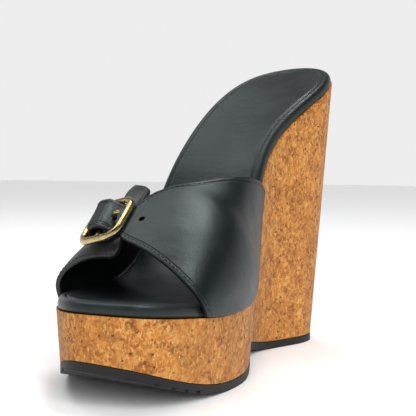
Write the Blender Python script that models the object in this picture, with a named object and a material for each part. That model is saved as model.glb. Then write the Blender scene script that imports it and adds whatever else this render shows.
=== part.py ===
"""Open wedge slide for the right foot.

A cork-covered wedge on a thin rubber outsole carries a padded leather footbed. A wide leather band
fans up from the medial edge, narrows over the foot and buckles to a strap from the lateral edge.
The shoe is modelled from the back of the heel (along = 0) to the toe, along +X. The medial side is +Y.
At the end everything is moved so that the origin lies under the middle of the shoe, on the floor.
"""

import math
from collections import namedtuple

import bmesh
import bpy
import numpy as np
from mathutils import Vector

# Driving sizes, in metres
SHOE_LENGTH = 0.2068
BALL_WIDTH = 0.0850
HEEL_RISE = 0.1402
PLATFORM_RISE = 0.0318
OUTSOLE_THICKNESS = 0.0036
ARCH_RISE = 0.0045
TOE_SPRING = 0.0150
FOOTBED_THICKNESS = 0.0050
FOOTBED_INSET = 0.0004
FOOTBED_CUP = 0.0014
STRAP_SEAT = 0.0007
SEAT_EASE = 0.02
STRAP_STAND_OFF = 0.0016
STRAP_FOOT_LIFT = 0.0002
UPPER_WALL = 0.0020
VAULT_RISE = 0.0508
JOINT_LAP = 0.00030
CLEARANCE = 0.0003

# How far the wedge's walls lean inwards for each metre of their height
SIDE_TAPER = 0.083
HEEL_TAPER = 0.083
TOE_TAPER = 0.044

# Where the underside leaves the floor, as shares of the shoe's length
ARCH_START = 0.27
ARCH_END = 0.635
TOE_SPRING_START = 0.70
TOE_SPRING_POWER = 1.75

# Tread grooves
GROOVE_WIDTH = 0.0022
GROOVE_DEPTH = 0.0012
GROOVE_PITCH = 0.0078
GROOVE_BORDER = 0.0070

# Fields of grooves along the shoe, as shares of its length; an open field runs out through the sides
Field = namedtuple("Field", "start end open")
GROOVE_FIELDS = [Field(0.085, 0.270, False), Field(0.600, 0.800, False), Field(0.830, 0.970, True)]

# Buckle, its centre bar and prong. The band's neck lies between two offsets along the buckle and
# humps over the centre bar, level between the crest's ends
BUCKLE_LENGTH = 0.0265
BUCKLE_WIDTH = 0.0230
BUCKLE_BAR = 0.0034
BUCKLE_THICKNESS = 0.0030
BUCKLE_CORNER = 0.0070
BUCKLE_FALL = 0.0010
CENTRE_BAR_RADIUS = 0.0012
CENTRE_BAR_HEIGHT = 0.0018
PRONG_RADIUS = 0.0009
NECK_REAR = -0.0088
NECK_FRONT = 0.0075
NECK_TAPER = 0.45
LOOP_ROOM = 0.0010
HUMP_MEDIAL_END = 0.0078
HUMP_MEDIAL_CREST = 0.0008
HUMP_LATERAL_CREST = -0.0036
HUMP_LATERAL_END = -0.0076
WALL_STRETCH_LIMIT = 1.7

# The frame's chamfered section: out in half widths of its bar, up in shares of its thickness
Chamfer = namedtuple("Chamfer", "out up")
BAR_SECTION = [
    Chamfer(-1.00, 0.25), Chamfer(-0.62, 0.00), Chamfer(0.62, 0.00), Chamfer(1.00, 0.25),
    Chamfer(1.00, 0.60), Chamfer(0.45, 1.00), Chamfer(-0.45, 1.00), Chamfer(-1.00, 0.60),
]

# The prong's way from under the centre bar, up through the hole and onto the medial bar: across is
# measured from the centre bar, the hole or the inner edge of the medial bar
Bend = namedtuple("Bend", "mark across rise")
PRONG_BENDS = [
    Bend("bar", -0.0014, 0.0000), Bend("bar", 0.0006, 0.0000), Bend("bar", 0.0026, 0.0006),
    Bend("hole", 0.0000, 0.0000), Bend("hole", 0.0018, 0.0017), Bend("medial_bar", -0.0008, 0.0002),
    Bend("medial_bar", 0.0012, 0.0000),
]

# Punched holes, measured from the centre bar
HOLE_RADIUS = 0.0014
HOLE_OFFSET = 0.0042
SPARE_HOLE_OFFSET = 0.0171

# The closed outline of the wedge's top, shares of length and of ball width, medial side first
Corner = namedtuple("Corner", "along side")
OUTLINE = [
    Corner(0.000, 0.000), Corner(0.041, 0.229), Corner(0.155, 0.334), Corner(0.318, 0.241),
    Corner(0.473, 0.341), Corner(0.614, 0.497), Corner(0.750, 0.554), Corner(0.873, 0.547),
    Corner(0.959, 0.467), Corner(0.991, 0.290), Corner(0.999, 0.130), Corner(0.975, 0.005),
    Corner(0.930, -0.112), Corner(0.864, -0.247), Corner(0.800, -0.362), Corner(0.727, -0.442),
    Corner(0.591, -0.422), Corner(0.455, -0.379), Corner(0.309, -0.364), Corner(0.155, -0.340),
    Corner(0.041, -0.238),
]

# The wedge's top line: rise is the share of the way from the platform up to the heel
Profile = namedtuple("Profile", "along rise")
TOP_LINE = [
    Profile(0.000, 1.000), Profile(0.091, 0.931), Profile(0.182, 0.842), Profile(0.273, 0.721),
    Profile(0.341, 0.604), Profile(0.400, 0.470), Profile(0.455, 0.304), Profile(0.509, 0.155),
    Profile(0.568, 0.054), Profile(0.636, 0.012), Profile(0.727, 0.000), Profile(0.864, 0.018),
    Profile(1.000, 0.043),
]

# The footbed's rolled rim from its foot to its top, as shares of the footbed's thickness
Rim = namedtuple("Rim", "inset rise")
RIM = [Rim(0.16, 0.0), Rim(0.0, 0.22), Rim(0.0, 0.55), Rim(0.12, 0.78), Rim(0.36, 0.93), Rim(0.70, 1.0)]

# The vault that both straps lie on. Each section springs from the medial and the lateral edge of the
# sole (shares of length), rises by a share of VAULT_RISE and leans back from the toe at lean degrees.
# Small shoulder values make a side squarer, tilt moves the crown, and the swells stand outwards.
Section = namedtuple("Section", "station medial lateral rise lean medial_shoulder lateral_shoulder "
                                "tilt medial_swell lateral_swell")
VAULT = [
    Section(0.0, 0.412, 0.466, 0.756, 37.0, 0.95, 0.73, -0.027, 0.111, 0.085),
    Section(0.5, 0.619, 0.615, 0.976, 77.7, 0.85, 0.62, -0.045, 0.064, -0.106),
    Section(1.0, 0.827, 0.800, 0.382, 64.7, 0.89, 0.59, -0.075, 0.017, 0.008),
]

# Edges of the straps on the vault: at each turn round it (degrees from the medial sole edge), the
# stations of the rear and the front edge. From NECK_START on the band narrows to pass the buckle.
Edge = namedtuple("Edge", "turn rear front")
BAND_EDGES = [
    Edge(0, 0.000, 1.000), Edge(45, 0.095, 0.960), Edge(75, 0.345, 0.890), Edge(90, 0.560, 0.859),
    Edge(104, 0.640, 0.829),
]
BAND_NECK_START = 92.0
BAND_NECK_END = 101.0
STRAP_EDGES = [
    Edge(92, 0.230, 0.937), Edge(140, 0.110, 0.938), Edge(180, 0.000, 1.000),
]
STRAP_END_TURN_REAR = 120.3
STRAP_END_TURN_FRONT = 92.3

# Under the band the strap's end runs on as a tongue, by this many degrees of turn
STRAP_TONGUE = 6.0
STRAP_TONGUE_MIDDLE = 0.56
STRAP_TONGUE_HALF = 0.35
STRAP_TONGUE_FADE = 0.25

# Where the buckle sits on the vault, and how its flat frame lies: its long side falls by the pitch
# towards the toe, points to the medial side by the yaw, and its lateral side hangs by the roll
BUCKLE_STATION = 0.768
BUCKLE_TURN = 114.8
BUCKLE_LIFT = 0.0004
BUCKLE_PITCH = 38.3
BUCKLE_YAW = 9.7
BUCKLE_ROLL = 9.5

# Mesh fineness
SIDE_STEPS = 56
ACROSS_STEPS = 5
BAND_STEPS = 30
NECK_STEPS = 26
BAND_COLUMNS = 14
STRAP_STEPS = 30
STRAP_COLUMNS = 12
FRAME_STEPS = 44
CENTRE_BAR_STEPS = 8
CENTRE_BAR_SIDES = 12
PRONG_STEPS = 24
PRONG_SIDES = 10
HOLE_SIDES = 16


def clear_scene():
    for item in list(bpy.data.objects):
        bpy.data.objects.remove(item, do_unlink=True)


def material(name, colour, roughness, metallic=0.0):
    mat = bpy.data.materials.new(name)
    mat.use_nodes = True
    shader = mat.node_tree.nodes["Principled BSDF"]
    shader.inputs["Base Color"].default_value = (*colour, 1.0)
    shader.inputs["Roughness"].default_value = roughness
    shader.inputs["Metallic"].default_value = metallic
    return mat


def add_object(name, vertices, faces, mat):
    mesh = bpy.data.meshes.new(name)
    mesh.from_pydata([tuple(map(float, v)) for v in vertices], [], faces)
    work = bmesh.new()
    work.from_mesh(mesh)
    bmesh.ops.recalc_face_normals(work, faces=work.faces)
    work.to_mesh(mesh)
    work.free()
    mesh.shade_smooth()
    mesh.set_sharp_from_angle(angle=math.radians(40))
    mesh.materials.append(mat)
    item = bpy.data.objects.new(name, mesh)
    bpy.context.scene.collection.objects.link(item)
    return item


def combine(target, tool, operation):
    """Boolean with a tool object that then stays as a hidden guide."""
    step = target.modifiers.new(operation.lower(), "BOOLEAN")
    step.operation = operation
    step.solver = "EXACT"
    step.object = tool
    tool.hide_render = True
    tool.display_type = "WIRE"


def cubic(knots, values, closed=False):
    """Smooth curve through the values, as a function of the knot coordinate."""
    knots = np.asarray(knots, float)
    values = np.asarray(values, float).reshape(len(knots), -1)
    gaps = np.diff(knots)
    slopes = np.diff(values, axis=0) / gaps[:, None]
    count = len(knots)
    system = np.eye(count)
    right = np.zeros_like(values)
    for i in range(1, count - 1):
        system[i, i - 1:i + 2] = gaps[i - 1], 2 * (gaps[i - 1] + gaps[i]), gaps[i]
        right[i] = 6 * (slopes[i] - slopes[i - 1])
    if closed:
        system[0, 0], system[0, -1] = 1, -1
        system[-1, -2:] = gaps[-1], 2 * gaps[-1]
        system[-1, :2] += 2 * gaps[0], gaps[0]
        right[-1] = 6 * (slopes[0] - slopes[-1])
    bends = np.linalg.solve(system, right)

    def at(where):
        where = np.atleast_1d(np.asarray(where, float))
        i = np.clip(np.searchsorted(knots, where) - 1, 0, count - 2)
        gap = gaps[i][:, None]
        ahead = (where - knots[i])[:, None]
        back = gap - ahead
        curve = (bends[i] * back ** 3 + bends[i + 1] * ahead ** 3) / (6 * gap)
        start = values[i] / gap - bends[i] * gap / 6
        end = values[i + 1] / gap - bends[i + 1] * gap / 6
        return curve + start * back + end * ahead

    return at


def table_curve(rows, key, column):
    curve = cubic([getattr(row, key) for row in rows], [getattr(row, column) for row in rows])
    return lambda where: curve(where)[:, 0]


def smooth_step(value):
    value = np.clip(value, 0.0, 1.0)
    return value * value * (3 - 2 * value)


# The sole's lines
top_share = table_curve(TOP_LINE, "along", "rise")


def top_line(x):
    """Height of the wedge's top above the floor."""
    share = top_share(np.clip(np.atleast_1d(x) / SHOE_LENGTH, 0.0, 1.0))
    return PLATFORM_RISE + (HEEL_RISE - PLATFORM_RISE) * share


def top_slope_normal(x):
    """Unit vectors at right angles to the top line, in the XZ plane."""
    step = 0.002 * SHOE_LENGTH
    slope = (top_line(x + step) - top_line(x - step)) / (2 * step)
    size = np.hypot(slope, 1.0)
    return np.stack([-slope / size, np.zeros_like(slope), 1 / size], axis=-1)


def underside(x):
    """Height of the outsole's underside: flat heel, arch, flat ball and toe spring."""
    along = np.atleast_1d(x) / SHOE_LENGTH
    arch = np.clip((along - ARCH_START) / (ARCH_END - ARCH_START), 0.0, 1.0)
    toe = np.clip((along - TOE_SPRING_START) / (1 - TOE_SPRING_START), 0.0, 1.0)
    return ARCH_RISE * np.sin(math.pi * arch) ** 2 + TOE_SPRING * toe ** TOE_SPRING_POWER


def outline_sides():
    """Dense runs of the outline's medial and lateral side, both from the heel to the toe."""
    ring = np.array([(c.along * SHOE_LENGTH, c.side * BALL_WIDTH) for c in OUTLINE + OUTLINE[:1]])
    chords = np.sqrt(np.linalg.norm(np.diff(ring, axis=0), axis=1))
    knots = np.concatenate([[0.0], np.cumsum(chords)])
    dense = cubic(knots, ring, closed=True)(np.linspace(0.0, knots[-1], 3001))[:-1]
    dense = np.roll(dense, -int(np.argmin(dense[:, 0])), axis=0)
    tip = int(np.argmax(dense[:, 0]))
    return dense[:tip + 1], np.vstack([dense[tip:], dense[:1]])[::-1]


MEDIAL_RUN, LATERAL_RUN = outline_sides()


def medial_side(x):
    return np.interp(x, MEDIAL_RUN[:, 0], MEDIAL_RUN[:, 1])


def lateral_side(x):
    return np.interp(x, LATERAL_RUN[:, 0], LATERAL_RUN[:, 1])


def outline_ring():
    """Outline points in a ring: heel, medial side, toe, lateral side. Both sides share their stations."""
    heel = MEDIAL_RUN[0, 0]
    toe = MEDIAL_RUN[-1, 0]
    turns = np.linspace(0.0, math.pi, SIDE_STEPS + 1)
    x = heel + (toe - heel) * (1 - np.cos(turns)) / 2
    medial = np.stack([x, medial_side(x)], axis=-1)
    lateral = np.stack([x, lateral_side(x)], axis=-1)
    return np.vstack([medial, lateral[-2:0:-1]])


def outward(ring):
    along = np.roll(ring, -1, axis=0) - np.roll(ring, 1, axis=0)
    along /= np.linalg.norm(along, axis=1)[:, None]
    return np.stack([-along[:, 1], along[:, 0]], axis=-1)


TOP_RING = outline_ring()
TOP_OUTWARD = outward(TOP_RING)


def base_ring():
    """The outline at the wedge's foot, drawn in by the taper of the walls."""
    height = top_line(TOP_RING[:, 0]) - underside(TOP_RING[:, 0]) - OUTSOLE_THICKNESS - CLEARANCE
    lengthwise = np.where(TOP_OUTWARD[:, 0] < 0, HEEL_TAPER, TOE_TAPER)
    taper = lengthwise * TOP_OUTWARD[:, 0] ** 2 + SIDE_TAPER * TOP_OUTWARD[:, 1] ** 2
    return TOP_RING - TOP_OUTWARD * (taper * height)[:, None]


BASE_RING = base_ring()


def across_faces(ring_start, columns):
    """Faces that close a ring from its medial to its lateral side, over rows of inner points."""
    count = 2 * SIDE_STEPS

    def row(i):
        if i in (0, SIDE_STEPS):
            return [ring_start + i]
        inner = [columns + (i - 1) * ACROSS_STEPS + k for k in range(ACROSS_STEPS)]
        return [ring_start + i] + inner + [ring_start + count - i]

    faces = []
    for i in range(SIDE_STEPS):
        here, there = row(i), row(i + 1)
        if len(here) == 1:
            faces += [(here[0], there[k], there[k + 1]) for k in range(len(there) - 1)]
        elif len(there) == 1:
            faces += [(here[k], there[0], here[k + 1]) for k in range(len(here) - 1)]
        else:
            faces += [(here[k], there[k], there[k + 1], here[k + 1]) for k in range(len(here) - 1)]
    return faces


def across_points(ring, sink):
    """Inner points between the sides of a ring, sunk towards the middle."""
    shares = [(k + 1) / (ACROSS_STEPS + 1) for k in range(ACROSS_STEPS)]
    points = []
    for i in range(1, SIDE_STEPS):
        medial, lateral = ring[i], ring[2 * SIDE_STEPS - i]
        width = np.linalg.norm(medial - lateral) / BALL_WIDTH
        for share in shares:
            bowl = sink * min(1.0, 2 * width) * (1 - (2 * share - 1) ** 2)
            normal = top_slope_normal(medial[0] + (lateral[0] - medial[0]) * share)[0]
            points.append(medial + (lateral - medial) * share - normal * bowl)
    return points


def ring_solid(name, rings, mat, sink=0.0):
    """A closed solid through rings from the bottom to the top."""
    count = 2 * SIDE_STEPS
    vertices = [point for ring in rings for point in ring]
    faces = []
    for level in range(len(rings) - 1):
        low, high = level * count, (level + 1) * count
        for i in range(count):
            j = (i + 1) % count
            faces.append((low + i, low + j, high + j, high + i))
    floor = len(vertices)
    vertices += across_points(rings[0], 0.0)
    faces += across_faces(0, floor)
    lid = len(vertices)
    vertices += across_points(rings[-1], sink)
    faces += across_faces((len(rings) - 1) * count, lid)
    return add_object(name, vertices, faces, mat)


def raise_ring(ring, height):
    return np.column_stack([ring, height(ring[:, 0])])


def make_outsole(mat):
    low = raise_ring(BASE_RING, underside)
    high = raise_ring(BASE_RING, lambda x: underside(x) + OUTSOLE_THICKNESS)
    outsole = ring_solid("outsole", [low, high], mat)
    grooves = make_grooves()
    combine(outsole, grooves, "DIFFERENCE")
    return outsole


def make_grooves():
    """Crosswise tread grooves: inside a border at the heel and the ball, right across at the toe."""
    vertices, faces = [], []
    for field in GROOVE_FIELDS:
        border = -GROOVE_BORDER if field.open else GROOVE_BORDER
        count = int(round((field.end - field.start) * SHOE_LENGTH / GROOVE_PITCH)) + 1
        for x in np.linspace(field.start * SHOE_LENGTH, field.end * SHOE_LENGTH, count):
            medial = base_side(x, 1) - border
            lateral = base_side(x, -1) + border
            base = len(vertices)
            for side_x in (x - GROOVE_WIDTH / 2, x + GROOVE_WIDTH / 2):
                floor = float(underside(side_x)[0])
                for y in (lateral, medial):
                    vertices.append((side_x, y, floor - OUTSOLE_THICKNESS))
                    vertices.append((side_x, y, floor + GROOVE_DEPTH))
            quads = [(0, 1, 3, 2), (4, 6, 7, 5), (0, 4, 5, 1), (2, 3, 7, 6), (0, 2, 6, 4), (1, 5, 7, 3)]
            faces += [tuple(base + k for k in quad) for quad in quads]
    return add_object("groove_guide", vertices, faces, material("guide", (0.5, 0.5, 0.5), 1.0))


def base_side(x, side):
    half = BASE_RING[:SIDE_STEPS + 1] if side > 0 else np.vstack([BASE_RING[SIDE_STEPS:], BASE_RING[:1]])[::-1]
    return float(np.interp(x, half[:, 0], half[:, 1]))


def make_wedge(mat):
    low = raise_ring(BASE_RING, lambda x: underside(x) + OUTSOLE_THICKNESS + CLEARANCE)
    high = raise_ring(TOP_RING, top_line)
    return ring_solid("cork_wedge", [low, high], mat)


def footbed_inset():
    """The rim stands back where a strap comes down beside it."""
    x = TOP_RING[:, 0] / SHOE_LENGTH
    rear, front = VAULT[0], VAULT[-1]

    def seat_of(start, end):
        return smooth_step((x - start) / SEAT_EASE + 1) * smooth_step((end - x) / SEAT_EASE + 1)

    medial = seat_of(rear.medial, front.medial)
    lateral = seat_of(rear.lateral, front.lateral)
    seat = np.where(np.arange(len(x)) <= SIDE_STEPS, medial, lateral)
    return FOOTBED_INSET + STRAP_SEAT * seat


def make_footbed(mat):
    """Padded board with a rolled edge; its thickness is measured square to the slope."""
    inset = footbed_inset()
    rings = []
    for rim in RIM:
        flat = TOP_RING - TOP_OUTWARD * (inset + rim.inset * FOOTBED_THICKNESS)[:, None]
        normal = top_slope_normal(flat[:, 0])
        lift = CLEARANCE + rim.rise * FOOTBED_THICKNESS
        rings.append(raise_ring(flat, top_line) + normal * lift)
    return ring_solid("footbed", rings, mat, sink=FOOTBED_CUP)


# The vault
def column(name):
    return table_curve(VAULT, "station", name)


SECTION = {name: column(name) for name in Section._fields[1:]}


def vault(station, turn):
    """Points of the straps' outer surface. Turn runs from 0 at the medial to 180 at the lateral edge."""
    station = np.atleast_1d(np.asarray(station, float))
    angle = np.radians(np.atleast_1d(np.asarray(turn, float)))
    row = {name: curve(station) for name, curve in SECTION.items()}
    medial_x = row["medial"] * SHOE_LENGTH
    lateral_x = row["lateral"] * SHOE_LENGTH
    seat = CLEARANCE + STRAP_FOOT_LIFT
    medial = np.stack([medial_x, medial_side(medial_x) + STRAP_STAND_OFF, top_line(medial_x)], axis=-1)
    lateral_y = lateral_side(lateral_x) - STRAP_STAND_OFF - UPPER_WALL + JOINT_LAP
    lateral = np.stack([lateral_x, lateral_y, top_line(lateral_x)], axis=-1)
    medial += top_slope_normal(medial_x) * seat
    lateral += top_slope_normal(lateral_x) * seat
    lean = np.radians(row["lean"])
    up = np.stack([np.cos(lean), np.zeros_like(lean), np.sin(lean)], axis=-1)
    half = angle / math.pi
    shoulder = row["medial_shoulder"] * (1 - half) + row["lateral_shoulder"] * half
    rise = np.maximum(np.sin(angle), 0.0) ** shoulder * row["rise"] * VAULT_RISE
    rise *= 1 + row["tilt"] * np.cos(angle)
    across = ((1 - np.cos(angle)) / 2)[:, None]
    points = medial + (lateral - medial) * across + up * rise[:, None]
    swing = np.sin(2 * angle)
    swell = np.where(swing > 0, row["medial_swell"], row["lateral_swell"]) * BALL_WIDTH
    points[:, 1] += swell * swing
    return points


def vault_normal(station, turn):
    step_s, step_t = 0.01, 0.5
    station = np.atleast_1d(station)
    turn = np.clip(np.atleast_1d(turn), step_t, 180 - step_t)
    along = vault(station + step_s, turn) - vault(station - step_s, turn)
    round_ = vault(station, turn + step_t) - vault(station, turn - step_t)
    normal = np.cross(round_, along)
    normal /= np.linalg.norm(normal, axis=1)[:, None]
    middle = vault(np.full(1, 0.5), np.full(1, 90.0))[0]
    middle[2] = PLATFORM_RISE
    facing = np.sign(((vault(station, turn) - middle) * normal).sum(axis=1))
    return normal * facing[:, None]


class Seat:
    """The buckle's place on the vault: a runs towards the toe, b towards the medial side, c outwards."""

    def __init__(self):
        pitch, yaw, roll = (math.radians(angle) for angle in (BUCKLE_PITCH, BUCKLE_YAW, BUCKLE_ROLL))
        self.along = np.array([math.cos(pitch) * math.cos(yaw), math.cos(pitch) * math.sin(yaw),
                               -math.sin(pitch)])
        level = np.array([0.0, 1.0, 0.0]) - self.along * self.along[1]
        level /= np.linalg.norm(level)
        self.side = level * math.cos(roll) + np.cross(self.along, level) * math.sin(roll)
        self.out = np.cross(self.along, self.side)
        self.centre = vault(BUCKLE_STATION, BUCKLE_TURN)[0] + self.out * BUCKLE_LIFT

    def local(self, points):
        away = points - self.centre
        return away @ self.along, away @ self.side, away @ self.out

    def at(self, a, b, c):
        return self.centre + self.along * a + self.side * b + self.out * (bed(b) + c)

    def on_vault(self, a, b):
        """Station and turn of the vault's point that lies at a and b."""
        place = np.array([BUCKLE_STATION, BUCKLE_TURN])
        step = np.array([0.01, 1.0])
        for _ in range(8):
            trial = vault(place[0] + np.array([0, step[0], 0]), place[1] + np.array([0, 0, step[1]]))
            near = np.stack(self.local(trial)[:2])
            slopes = (near[:, 1:] - near[:, :1]) / step
            place = place + np.linalg.solve(slopes, np.array([a, b]) - near[:, 0])
        return place


def bed(b):
    """The lateral half of the frame, and the band under it, bend down from the frame's plane."""
    share = np.clip(-b / (BUCKLE_WIDTH / 2), 0.0, 1.5)
    return -BUCKLE_FALL * share ** 2


SEAT = Seat()


def leather_sheet(name, grid_station, grid_turn, lift_of, mat):
    """A strap of even wall: the outer face lifted off the vault, the inner face one wall below it."""
    rows, columns = grid_station.shape
    points = vault(grid_station.ravel(), grid_turn.ravel())
    normals = vault_normal(grid_station.ravel(), grid_turn.ravel())
    lift, wall = lift_of(points, normals)
    outer = points + normals * lift[:, None]
    inner = points + normals * (lift - wall)[:, None]
    vertices = list(outer) + list(inner)
    size = rows * columns
    faces = []
    for i in range(rows - 1):
        for j in range(columns - 1):
            a = i * columns + j
            quad = (a, a + 1, a + columns + 1, a + columns)
            faces.append(quad)
            faces.append(tuple(size + k for k in reversed(quad)))
    border = [j for j in range(columns)]
    border += [i * columns + columns - 1 for i in range(1, rows)]
    border += [(rows - 1) * columns + j for j in range(columns - 2, -1, -1)]
    border += [i * columns for i in range(rows - 2, 0, -1)]
    for k, here in enumerate(border):
        there = border[(k + 1) % len(border)]
        faces.append((here, size + here, size + there, there))
    return add_object(name, vertices, faces, mat)


def hump(b):
    """The band's climb over the centre bar, inside the frame."""
    top = CENTRE_BAR_HEIGHT + CENTRE_BAR_RADIUS + LOOP_ROOM + UPPER_WALL
    medial = smooth_step((HUMP_MEDIAL_END - b) / (HUMP_MEDIAL_END - HUMP_MEDIAL_CREST))
    lateral = smooth_step((b - HUMP_LATERAL_END) / (HUMP_LATERAL_CREST - HUMP_LATERAL_END))
    return top * medial * lateral


def hump_slope(b):
    step = 0.0003
    return (hump(b + step) - hump(b - step)) / (2 * step)


def band_lift(points, normals):
    """How far the band's outer face stands off the vault, to pass under the bars, and its wall there."""
    a, b, c = SEAT.local(points)
    held = smooth_step((BUCKLE_WIDTH / 2 + BUCKLE_BAR - b) / BUCKLE_BAR)
    lift = held * (bed(b) + hump(b) - c) / (normals @ SEAT.out)
    stretch = np.minimum(np.hypot(1.0, held * hump_slope(b)), WALL_STRETCH_LIMIT)
    return lift, UPPER_WALL * stretch


def neck_stations(turn, offset):
    """Stations that lie at an offset along the buckle, where the band is as wide as the frame lets it."""
    stations = np.linspace(0.3, 1.1, 81)
    found = []
    for value, reach in zip(turn, offset):
        along = (vault(stations, np.full_like(stations, value)) - SEAT.centre) @ SEAT.along
        found.append(np.interp(reach, along, stations))
    return np.array(found)


def band_stations(turn):
    """Stations of the band's rear and front edge at each turn."""
    neck = smooth_step((turn - BAND_NECK_START) / (BAND_NECK_END - BAND_NECK_START))
    crest = SEAT.on_vault(0.0, HUMP_LATERAL_CREST)[1]
    tail = 1 - NECK_TAPER * smooth_step((turn - crest) / (turn[-1] - crest))
    held = np.minimum(turn, BAND_EDGES[-1].turn)
    edges = []
    for side, name in ((NECK_REAR, "rear"), (NECK_FRONT, "front")):
        wide = table_curve(BAND_EDGES, "turn", name)(held)
        edges.append(wide + (neck_stations(turn, side * tail) - wide) * neck)
    return edges


def make_band(mat):
    """The wide medial band, down to its narrow end under the buckle's lateral bar."""
    end = SEAT.on_vault(0.0, -BUCKLE_WIDTH / 2)[1]
    wide = np.linspace(0.0, BAND_NECK_START, BAND_STEPS + 1)
    narrow = np.linspace(BAND_NECK_START, end, NECK_STEPS + 1)
    turn = np.concatenate([wide, narrow[1:]])
    rear, front = band_stations(turn)
    across = np.linspace(0.0, 1.0, BAND_COLUMNS + 1)
    station = rear[:, None] + (front - rear)[:, None] * across[None, :]
    turns = np.repeat(turn[:, None], BAND_COLUMNS + 1, axis=1)
    return leather_sheet("upper", station, turns, band_lift, mat)


def strap_lift(points, normals):
    """The lateral strap lies under the band."""
    even = np.full(len(points), UPPER_WALL)
    return JOINT_LAP - even, even


def make_lateral_strap(mat):
    rear = table_curve(STRAP_EDGES, "turn", "rear")
    front = table_curve(STRAP_EDGES, "turn", "front")
    down = np.linspace(0.0, 1.0, STRAP_STEPS + 1)[:, None]
    across = np.linspace(0.0, 1.0, STRAP_COLUMNS + 1)[None, :]
    end = STRAP_END_TURN_REAR + (STRAP_END_TURN_FRONT - STRAP_END_TURN_REAR) * across
    end = end - STRAP_TONGUE * smooth_step((STRAP_TONGUE_HALF - np.abs(across - STRAP_TONGUE_MIDDLE)) / STRAP_TONGUE_FADE)
    turns = end + (180 - end) * down
    flat = turns.ravel()
    width = (front(flat) - rear(flat)).reshape(turns.shape)
    station = rear(flat).reshape(turns.shape) + width * across
    return leather_sheet("lateral_strap_guide", station, turns, strap_lift, mat)


def make_upper(mat):
    """Both straps as one piece, joined where they cross, with the punched holes."""
    band = make_band(mat)
    strap = make_lateral_strap(mat)
    combine(band, strap, "UNION")
    middle = SEAT.at(0.0, HOLE_OFFSET, hump(HOLE_OFFSET) - UPPER_WALL / 2)
    axis = SEAT.out - SEAT.side * hump_slope(HOLE_OFFSET)
    combine(band, hole_guide("prong_hole_guide", middle, axis, mat), "DIFFERENCE")
    station, turn = SEAT.on_vault(0.0, SPARE_HOLE_OFFSET)
    out = vault_normal(station, turn)[0]
    middle = vault(station, turn)[0] - out * UPPER_WALL / 2
    combine(band, hole_guide("spare_hole_guide", middle, out, mat), "DIFFERENCE")
    return band


def hole_guide(name, middle, axis, mat):
    reach = UPPER_WALL * np.asarray(axis) / np.linalg.norm(axis)
    return make_rod(name, [middle - reach, middle + reach], HOLE_RADIUS, HOLE_SIDES, mat)


def rounded_rectangle(length, width, corner, steps):
    """Centre line of a rounded rectangle, with the outward direction at each point."""
    points = []
    per_corner = steps // 4
    for quarter in range(4):
        sign_a = 1 if quarter in (0, 3) else -1
        sign_b = 1 if quarter in (0, 1) else -1
        for k in range(per_corner):
            angle = math.pi / 2 * (quarter + k / (per_corner - 1))
            out_a, out_b = math.cos(angle), math.sin(angle)
            points.append((sign_a * (length / 2 - corner) + corner * out_a,
                           sign_b * (width / 2 - corner) + corner * out_b, out_a, out_b))
    return points


def make_buckle_frame(mat):
    """Rounded rectangular frame with chamfered bars, and the centre bar across its middle."""
    half = BUCKLE_BAR / 2
    path = rounded_rectangle(BUCKLE_LENGTH - BUCKLE_BAR, BUCKLE_WIDTH - BUCKLE_BAR,
                             BUCKLE_CORNER - half, FRAME_STEPS)
    vertices = []
    for a, b, out_a, out_b in path:
        for corner in BAR_SECTION:
            out = corner.out * half
            vertices.append(SEAT.at(a + out * out_a, b + out * out_b, CLEARANCE + corner.up * BUCKLE_THICKNESS))
    faces = []
    count = len(BAR_SECTION)
    for i in range(len(path)):
        here, there = i * count, ((i + 1) % len(path)) * count
        for k in range(count):
            m = (k + 1) % count
            faces.append((here + k, there + k, there + m, here + m))
    frame = add_object("buckle_frame", vertices, faces, mat)
    reach = BUCKLE_LENGTH / 2 - half
    bar_path = [SEAT.at(a, 0.0, CENTRE_BAR_HEIGHT) for a in np.linspace(-reach, reach, CENTRE_BAR_STEPS + 1)]
    combine(frame, make_rod("centre_bar_guide", bar_path, CENTRE_BAR_RADIUS, CENTRE_BAR_SIDES, mat), "UNION")
    return frame


def make_prong(mat):
    """The tongue: hooked under the centre bar, up through the hole and over the medial bar."""
    under = CENTRE_BAR_HEIGHT - CENTRE_BAR_RADIUS - CLEARANCE - PRONG_RADIUS
    over = 2 * CLEARANCE + BUCKLE_THICKNESS + PRONG_RADIUS
    hole = float(hump(HOLE_OFFSET)) - UPPER_WALL / 2
    marks = {"bar": (0.0, under), "hole": (HOLE_OFFSET, hole), "medial_bar": (BUCKLE_WIDTH / 2 - BUCKLE_BAR, over)}
    knots = [(marks[bend.mark][0] + bend.across, marks[bend.mark][1] + bend.rise) for bend in PRONG_BENDS]
    line = cubic(np.arange(len(knots)), knots)(np.linspace(0, len(knots) - 1, PRONG_STEPS + 1))
    path = [SEAT.at(0.0, b, c) for b, c in line]
    return make_rod("buckle_prong", path, PRONG_RADIUS, PRONG_SIDES, mat)


def make_rod(name, path, radius, sides, mat):
    """A round rod along a path, with flat ends."""
    path = [Vector(p) for p in path]
    vertices, faces = [], []
    cross = None
    for i, point in enumerate(path):
        ahead = path[min(i + 1, len(path) - 1)] - path[max(i - 1, 0)]
        ahead.normalize()
        if cross is None:
            cross = ahead.orthogonal()
        cross = (cross - ahead * cross.dot(ahead)).normalized()
        other = ahead.cross(cross)
        for k in range(sides):
            angle = 2 * math.pi * k / sides
            vertices.append(point + (cross * math.cos(angle) + other * math.sin(angle)) * radius)
    for i in range(len(path) - 1):
        for k in range(sides):
            m = (k + 1) % sides
            faces.append((i * sides + k, i * sides + m, (i + 1) * sides + m, (i + 1) * sides + k))
    faces.append(tuple(range(sides - 1, -1, -1)))
    faces.append(tuple((len(path) - 1) * sides + k for k in range(sides)))
    return add_object(name, vertices, faces, mat)


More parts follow.
